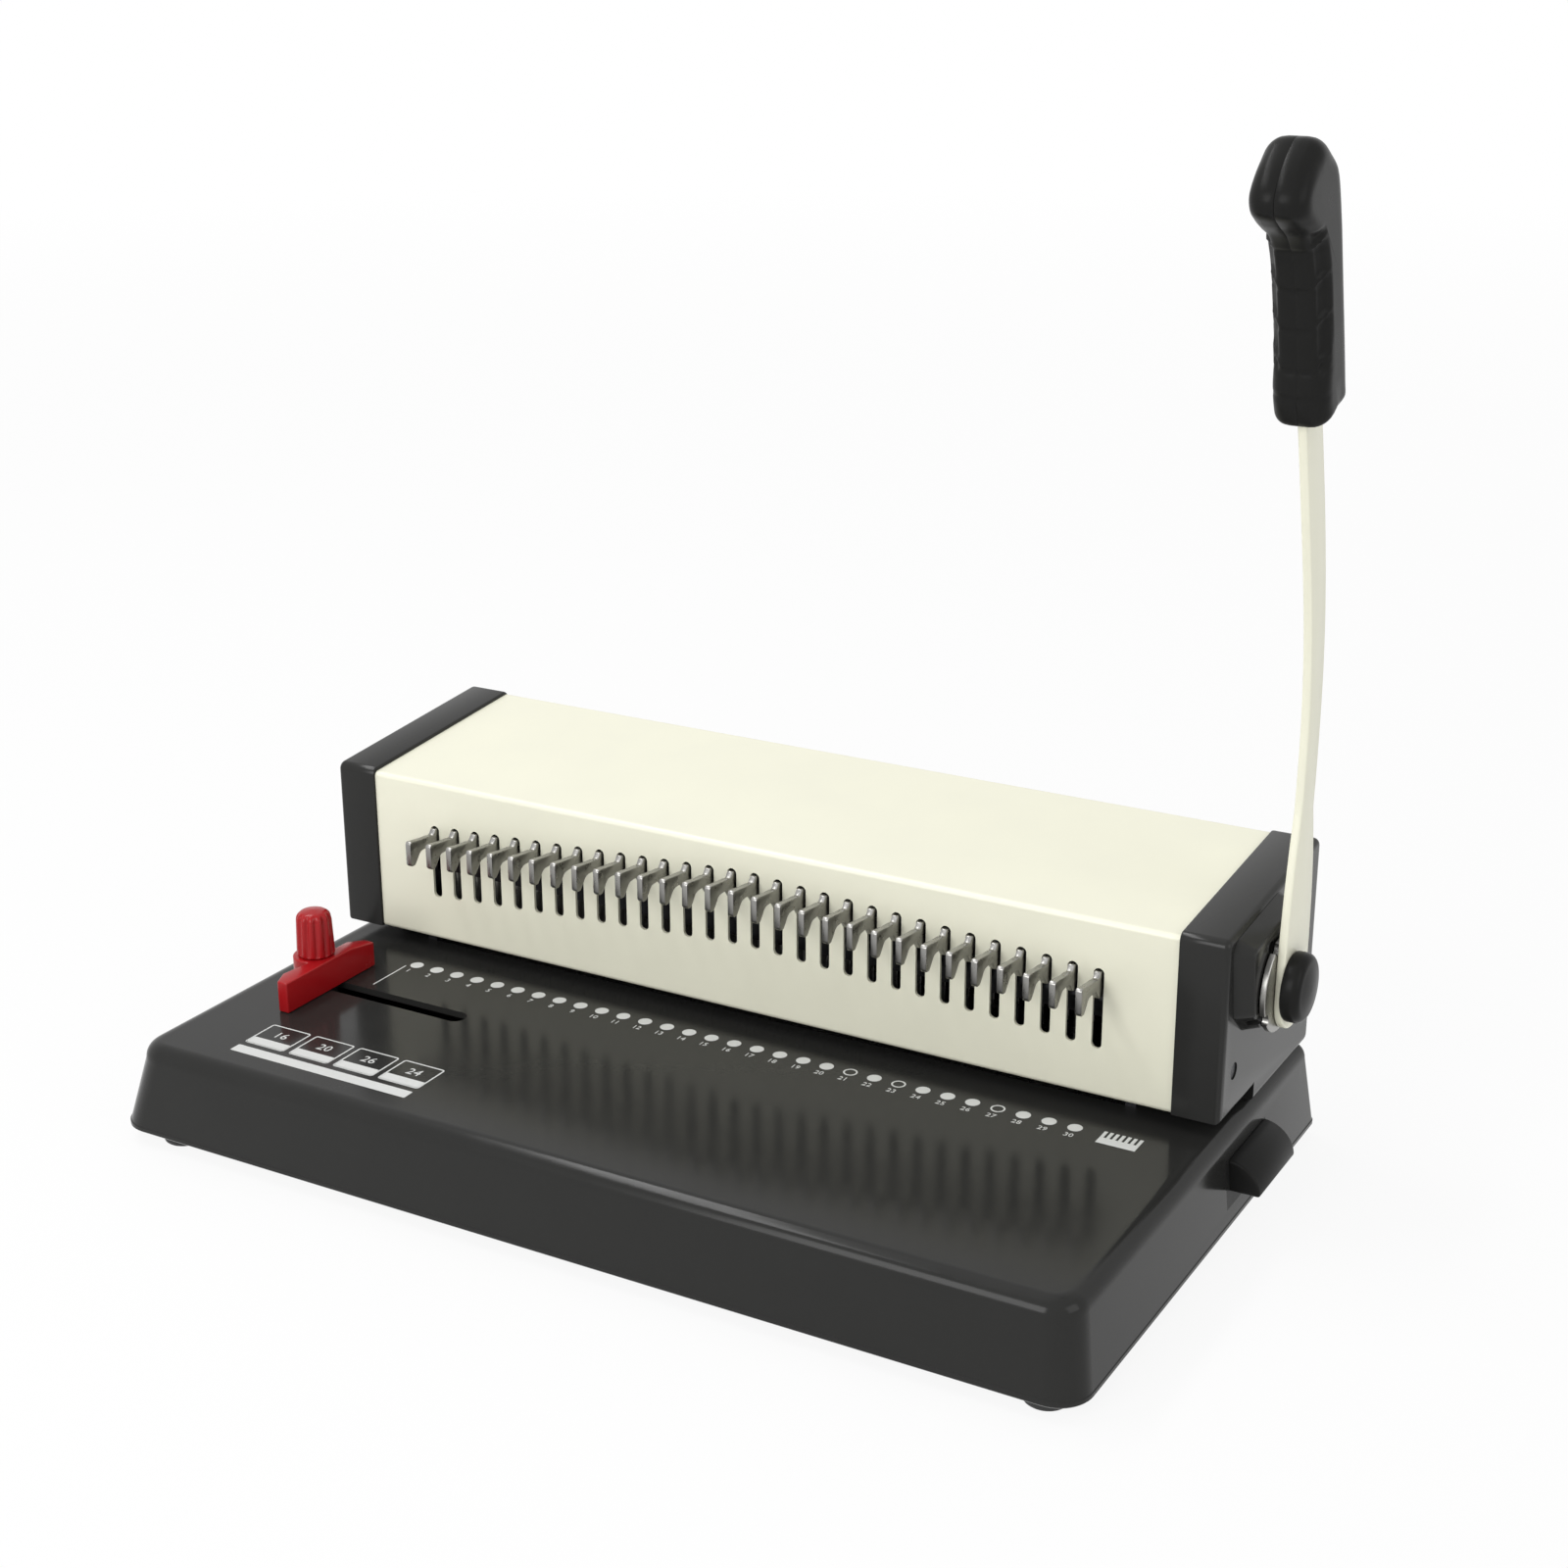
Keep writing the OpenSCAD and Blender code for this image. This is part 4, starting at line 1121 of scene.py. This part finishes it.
def build_pivot_cap():
    low, high = span("pivot_cap")
    radius = (high.y - low.y) / 2
    edge, dome = 3, 1
    profile = [(0, low.x), (radius - 0.6, low.x), (radius - 0.3, low.x + 0.3), (radius, low.x + 0.9)]
    profile += [(radius - inset, high.x - dome - edge + rise) for inset, rise in arc_steps(edge, 7)]
    profile += [(radius - 5, high.x - 0.65), (radius - 8, high.x - 0.2), (0, high.x)]
    cap = make_object("pivot_cap_domed", lathe(profile, about_pivot))
    finish(cap, "black_plastic", "lever", "black_plastic", "pivot_cap")


# Edge stop


EAR_RADIUS = 8.75
BORE_RADIUS = 2.05


def build_edge_stop():
    """The stop: a straight face with a round ear behind it for the knob, and a top that falls to the back."""
    low, high = span("edge_stop")
    face = high.x
    y0, y1 = low.y, high.y
    thin, thick, shoulder = 4.5, 7.6, 7
    outline = points((face, y0), (face, y1), (face - thin, y1), (face - thick, y1 - shoulder))
    steps = 24
    for k in range(steps + 1):
        angle = radians(70) + radians(220) * k / steps
        outline.append(Vector((KNOB_AXIS.x + EAR_RADIUS * cos(angle), KNOB_AXIS.y + EAR_RADIUS * sin(angle))))
    outline += points((face - thick, y0 + shoulder), (face - thin, y0))
    stop = make_object("edge_stop_moulded", slab(outline, plan_view, low.z, high.z))
    start, end = KNOB_AXIS.y + knob_radius() + 2, y1 + 1
    above = high.z + 2
    wedge = points((start, high.z), (end, high.z - mm(sizes().stop_fall)), (end, above), (start, above))
    combine(stop, [slab(wedge, side_view, face - 30, face + 2)], "DIFFERENCE")
    bevel(stop, 1.0, 3, 25)
    combine(stop, [knob_bore(low.z - 1, high.z + 1)], "DIFFERENCE")
    finish(stop, "red_plastic", "stop", "red_plastic", "edge_stop")


def knob_radius():
    low, high = span("stop_knob")
    return (high.x - low.x) / 2


def knob_bore(z0, z1):
    """The hole for the clamp screw."""
    return slab(circle(KNOB_AXIS.x, KNOB_AXIS.y, BORE_RADIUS), plan_view, z0, z1)


def build_knob():
    """The fluted knob: its profile gives radius, height and the share of the flutes' depth."""
    low, high = span("stop_knob")
    radius = knob_radius()
    flutes, depth, hollow = 12, 0.9, 1.6
    steps = 120
    profile = [(radius - 0.7, low.z, 0.0), (radius - 0.1, low.z + 0.5, 0.4), (radius, low.z + 1.2, 1.0)]
    profile += [(radius - 0.5, high.z - 4, 1.0)]
    for inset, rise in arc_steps(3.4, 7):
        profile.append((radius - 0.55 - inset, high.z - 3.9 + rise, max(0.0, 1.0 - inset / 1.8)))
    profile += [(radius - 5.4, high.z - 0.15, 0.0), (0.02, high.z, 0.0)]
    rings = []
    for reach, z, share in profile:
        ring = []
        for k in range(steps):
            angle = tau * k / steps
            at = reach - depth * share * (0.5 - 0.5 * cos(flutes * angle)) ** hollow
            ring.append(Vector((KNOB_AXIS.x + at * cos(angle), KNOB_AXIS.y + at * sin(angle), z)))
        rings.append(ring)
    knob = make_object("stop_knob_fluted", skinned(rings))
    finish(knob, "red_plastic", "knob", "red_plastic", "stop_knob", sharp=50)


# Printed marks


INK_GAP = 0.01
DOT_Y = -15.5
DOT_RADIUS = 2.02
RING_RADII = (2.6, 2.0)
RING_NUMBERS = (21, 23, 27)
NUMBER_Y = -22.3
NUMBER_HEIGHT = 3.6


def mark(bm, outline, hole=None):
    """A thin printed shape on the base's top, with an optional hole of as many points."""
    low = TABLE_TOP + INK_GAP
    high = low + mm(sizes().ink)
    if hole is None:
        skin(bm, [[plan_view(p, z) for p in outline] for z in (low, high)])
        return
    rings = [(outline, low), (outline, high), (hole, high), (hole, low), (outline, low)]
    skin(bm, [[plan_view(p, z) for p in ring] for ring, z in rings], False)


def build_dots():
    """The row of printed dots that mark the holes: rings, most of them filled."""
    bm = bmesh.new()
    mark(bm, *(circle(0, DOT_Y, radius) for radius in RING_RADII))
    rings = make_object("printed_rings", bm)
    repeat_in_row(rings, 0.0, "white_ink")
    finish(rings, "white_ink", "frame", "cream_paint")
    bm = bmesh.new()
    for index in range(sizes().hole_count):
        if index + 1 not in RING_NUMBERS:
            mark(bm, circle(row_x(index), DOT_Y, DOT_RADIUS))
    finish(make_object("printed_dots", bm), "white_ink", "frame", "cream_paint")


def print_number(bm, number, x, y, height):
    """Adds a plain number to the printing, with its foot at a place on the base's top."""
    text = bpy.data.curves.new("number", "FONT")
    text.body = str(number)
    text.align_x = "CENTER"
    text.size = height
    text.resolution_u = 2
    text.extrude = mm(sizes().ink) / 2
    carrier = add_object("number", text)
    mesh = plain_mesh(carrier)
    mesh.transform(Matrix.Translation((x, y, TABLE_TOP + INK_GAP + mm(sizes().ink) / 2)))
    bm.from_mesh(mesh)
    bpy.data.objects.remove(carrier)
    bpy.data.curves.remove(text)
    bpy.data.meshes.remove(mesh)


def build_numbers():
    """The hole numbers in front of the dots."""
    bm = bmesh.new()
    for index in range(sizes().hole_count):
        print_number(bm, index + 1, row_x(index), NUMBER_Y, NUMBER_HEIGHT)
    finish(make_object("printed_numbers", bm), "white_ink", "frame", "cream_paint")


PANEL_NUMBERS = (16, 20, 26, 24)


def build_panel():
    """The printed frames, bars, line and comb on the base, with plain numbers only."""
    bm = bmesh.new()
    first, width, pitch = -150.6, 17.8, 20.1
    corner, line = 1.2, 0.6
    for k, number in enumerate(PANEL_NUMBERS):
        left = first + k * pitch
        corners = rectangle(left, left + width, -100.4, -84)
        mark(bm, *(rounded_outline(corners, corner, inset, 4) for inset in (0.0, line)))
        mark(bm, rectangle(left + 0.5, left + width - 0.5, -100, -95.2))
        print_number(bm, number, left + width * 0.5, -92.4, 6.0)
    mark(bm, rounded_outline(rectangle(first, -72.4, -108, -103), 0.5, 0.0, 3))
    mark(bm, rectangle(-141.5, -141.0, -38, -18))
    comb, tooth, tooth_pitch = 147.5, 1.2, 2.13
    mark(bm, rectangle(comb, 161.5, -21.5, -17.4))
    for k in range(7):
        left = comb + tooth_pitch * k
        mark(bm, rectangle(left, left + tooth, -17.3, -13))
    finish(make_object("printed_panel", bm), "white_ink", "frame", "cream_paint")


# Studio


CAMERA_PLACE = Vector((429.3, -720.2, 433.3))
CAMERA_TURN = radians(29.79)
CAMERA_HEIGHT = radians(19.74)
CAMERA_ROLL = radians(-0.24)
CAMERA_LENS = 57.89


def build_camera():
    level = cos(CAMERA_HEIGHT)
    back = Vector((sin(CAMERA_TURN) * level, -cos(CAMERA_TURN) * level, sin(CAMERA_HEIGHT)))
    right = Vector((cos(CAMERA_TURN), sin(CAMERA_TURN), 0.0))
    up = back.cross(right)
    rolled_right = cos(CAMERA_ROLL) * right + sin(CAMERA_ROLL) * up
    rolled_up = cos(CAMERA_ROLL) * up - sin(CAMERA_ROLL) * right
    lens = bpy.data.cameras.new("camera")
    lens.sensor_width = 36.0
    lens.lens = CAMERA_LENS
    camera = add_object("camera", lens)
    turn = Matrix((rolled_right, rolled_up, back)).transposed().to_4x4()
    camera.matrix_world = Matrix.Translation(HOME @ CAMERA_PLACE) @ turn
    bpy.context.scene.camera = camera


def seen_ray(tree):
    """One for rays that show the background: straight from the camera, or by way of gloss or glass."""
    path = tree.nodes.new("ShaderNodeLightPath")
    gloss = maths(tree, "MAXIMUM", path.outputs["Is Glossy Ray"], path.outputs["Is Transmission Ray"])
    return maths(tree, "MAXIMUM", path.outputs["Is Camera Ray"], gloss)


def show_mix(tree, share, first, second, output):
    """Sends two shaders, mixed by a share, to a tree's output."""
    blend = tree.nodes.new("ShaderNodeMixShader")
    for value, socket in zip((share, first.outputs[0], second.outputs[0]), blend.inputs):
        tree.links.new(value, socket)
    tree.links.new(blend.outputs[0], tree.nodes[output].inputs["Surface"])


def build_floor():
    """A wide floor that keeps the shadow near the punch and turns to the background's white far from it."""
    reach, gap = 30.0, 0.0002
    mesh = bpy.data.meshes.new("floor")
    corners = [(p.x, p.y, 0) for p in rectangle(-reach, reach, -reach, reach)]
    mesh.from_pydata(corners, [], [(0, 1, 2, 3)])
    floor = add_object("floor", mesh)
    floor.location.z = -gap
    tree, shader, where = start_material("studio_floor")
    pale = bpy.context.scene.punch_colours.floor
    cloud = ranged(tree, noise(tree, where, 3.0), 0.0, 1.0)
    shade = mix_colour(tree, cloud, opaque(shaded(pale, 0.985)), opaque(pale))
    tree.links.new(shade, shader.inputs["Base Color"])
    shader.inputs["Roughness"].default_value = 0.6
    shader.inputs["Specular IOR Level"].default_value = 0.2
    glow = tree.nodes.new("ShaderNodeEmission")
    distance = tree.nodes.new("ShaderNodeVectorMath")
    distance.operation = "LENGTH"
    tree.links.new(where, distance.inputs[0])
    near, far = 0.5, 3.0
    fade = ranged(tree, distance.outputs["Value"], 0.9, 1.0, near, far)
    share = maths(tree, "MULTIPLY", seen_ray(tree), fade)
    show_mix(tree, share, shader, glow, "Material Output")
    mesh.materials.append(bpy.data.materials["studio_floor"])


def build_world():
    """A white background, with less light than it shows."""
    world = bpy.data.worlds.new("studio")
    bpy.context.scene.world = world
    world.use_nodes = True
    tree = world.node_tree
    light = tree.nodes["Background"]
    light.inputs["Strength"].default_value = 0.5
    shown = tree.nodes.new("ShaderNodeBackground")
    for background in (light, shown):
        background.inputs["Color"].default_value = (1.0, 1.0, 1.0, 1.0)
    show_mix(tree, seen_ray(tree), light, shown, "World Output")


def soft_light(name, place, width, height, power):
    """An area lamp, in metres and watts, turned to the middle of the punch."""
    middle = Vector((0.0, 0.0, 0.1))
    data = bpy.data.lights.new(name, "AREA")
    data.shape = "RECTANGLE"
    data.size = width
    data.size_y = height
    data.energy = power
    lamp = add_object(name, data)
    lamp.location = place
    lamp.rotation_euler = (middle - Vector(place)).to_track_quat("-Z", "Y").to_euler()


def build_lights():
    soft_light("light_above", (-0.3, 0.15, 1.7), 1.2, 1.2, 1.4)
    soft_light("light_strip", (-0.8, -0.1, 1.6), 1.4, 0.25, 11.0)
    soft_light("light_front", (-0.3, -1.7, 0.9), 1.0, 1.0, 17.5)
    soft_light("light_side", (1.7, -0.2, 0.8), 1.0, 1.0, 5.5)


# Operators


class PUNCH_OT_finishes(bpy.types.Operator):
    """Make the paints, plastics and metals, and give them to the frame's pieces"""

    bl_idname = "punch.finishes"
    bl_label = "Finishes"

    def execute(self, context):
        make_finishes()
        return {"FINISHED"}


class PUNCH_OT_base(bpy.types.Operator):
    """Build the painted base, its feet and its chip tray with the pull"""

    bl_idname = "punch.base"
    bl_label = "Base"

    def execute(self, context):
        build_base()
        build_feet()
        build_tray()
        build_tray_pull()
        return {"FINISHED"}


class PUNCH_OT_end_caps(bpy.types.Operator):
    """Build the moulded caps at both ends of the head"""

    bl_idname = "punch.end_caps"
    bl_label = "End caps"

    def execute(self, context):
        build_end_caps()
        return {"FINISHED"}


class PUNCH_OT_hooks(bpy.types.Operator):
    """Build the row of nickel hooks"""

    bl_idname = "punch.hooks"
    bl_label = "Hooks"

    def execute(self, context):
        build_hooks()
        return {"FINISHED"}


class PUNCH_OT_lever(bpy.types.Operator):
    """Build the lever's bar and hub, both halves of its grip and its pivot cap"""

    bl_idname = "punch.lever"
    bl_label = "Lever"

    def execute(self, context):
        build_bar()
        build_hub()
        build_grip(1, "grip_outer_half", "grip_right")
        build_grip(-1, "grip_inner_half", "grip_left")
        build_pivot_cap()
        return {"FINISHED"}


class PUNCH_OT_edge_stop(bpy.types.Operator):
    """Build the red edge stop and its fluted knob"""

    bl_idname = "punch.edge_stop"
    bl_label = "Edge stop"

    def execute(self, context):
        build_edge_stop()
        build_knob()
        return {"FINISHED"}


class PUNCH_OT_printing(bpy.types.Operator):
    """Print the dots, the hole numbers and the plain frames on the base"""

    bl_idname = "punch.printing"
    bl_label = "Printing"

    def execute(self, context):
        build_dots()
        build_numbers()
        build_panel()
        return {"FINISHED"}


class PUNCH_OT_stage(bpy.types.Operator):
    """Set up the floor, the background, the soft lights and the camera"""

    bl_idname = "punch.stage"
    bl_label = "Studio"

    def execute(self, context):
        context.scene.view_settings.view_transform = "Standard"
        build_floor()
        build_world()
        build_lights()
        build_camera()
        return {"FINISHED"}


OPERATORS = (
    PUNCH_OT_finishes,
    PUNCH_OT_base,
    PUNCH_OT_end_caps,
    PUNCH_OT_hooks,
    PUNCH_OT_lever,
    PUNCH_OT_edge_stop,
    PUNCH_OT_printing,
    PUNCH_OT_stage,
)


class PUNCH_PT_panel(bpy.types.Panel):
    """Lists the punch's sizes, colours and pieces"""

    bl_idname = "PUNCH_PT_panel"
    bl_label = "Hole Punch"
    bl_space_type = "VIEW_3D"
    bl_region_type = "UI"
    bl_category = "Hole Punch"

    def draw(self, context):
        for group in (context.scene.punch_sizes, context.scene.punch_colours):
            column = self.layout.column()
            for name in group.__annotations__:
                column.prop(group, name)
        for operator in OPERATORS:
            self.layout.operator(operator.bl_idname)


CLASSES = (PunchSizes, PunchColours) + OPERATORS + (PUNCH_PT_panel,)


def register():
    for item in CLASSES:
        bpy.utils.register_class(item)
    bpy.types.Scene.punch_sizes = PointerProperty(type=PunchSizes)
    bpy.types.Scene.punch_colours = PointerProperty(type=PunchColours)


def unregister():
    del bpy.types.Scene.punch_colours
    del bpy.types.Scene.punch_sizes
    for item in reversed(CLASSES):
        bpy.utils.unregister_class(item)


def main():
    register()
    bpy.ops.punch.finishes()
    bpy.ops.punch.base()
    bpy.ops.punch.end_caps()
    bpy.ops.punch.hooks()
    bpy.ops.punch.lever()
    bpy.ops.punch.edge_stop()
    bpy.ops.punch.printing()
    bpy.ops.punch.stage()


if __name__ == "__main__":
    main()
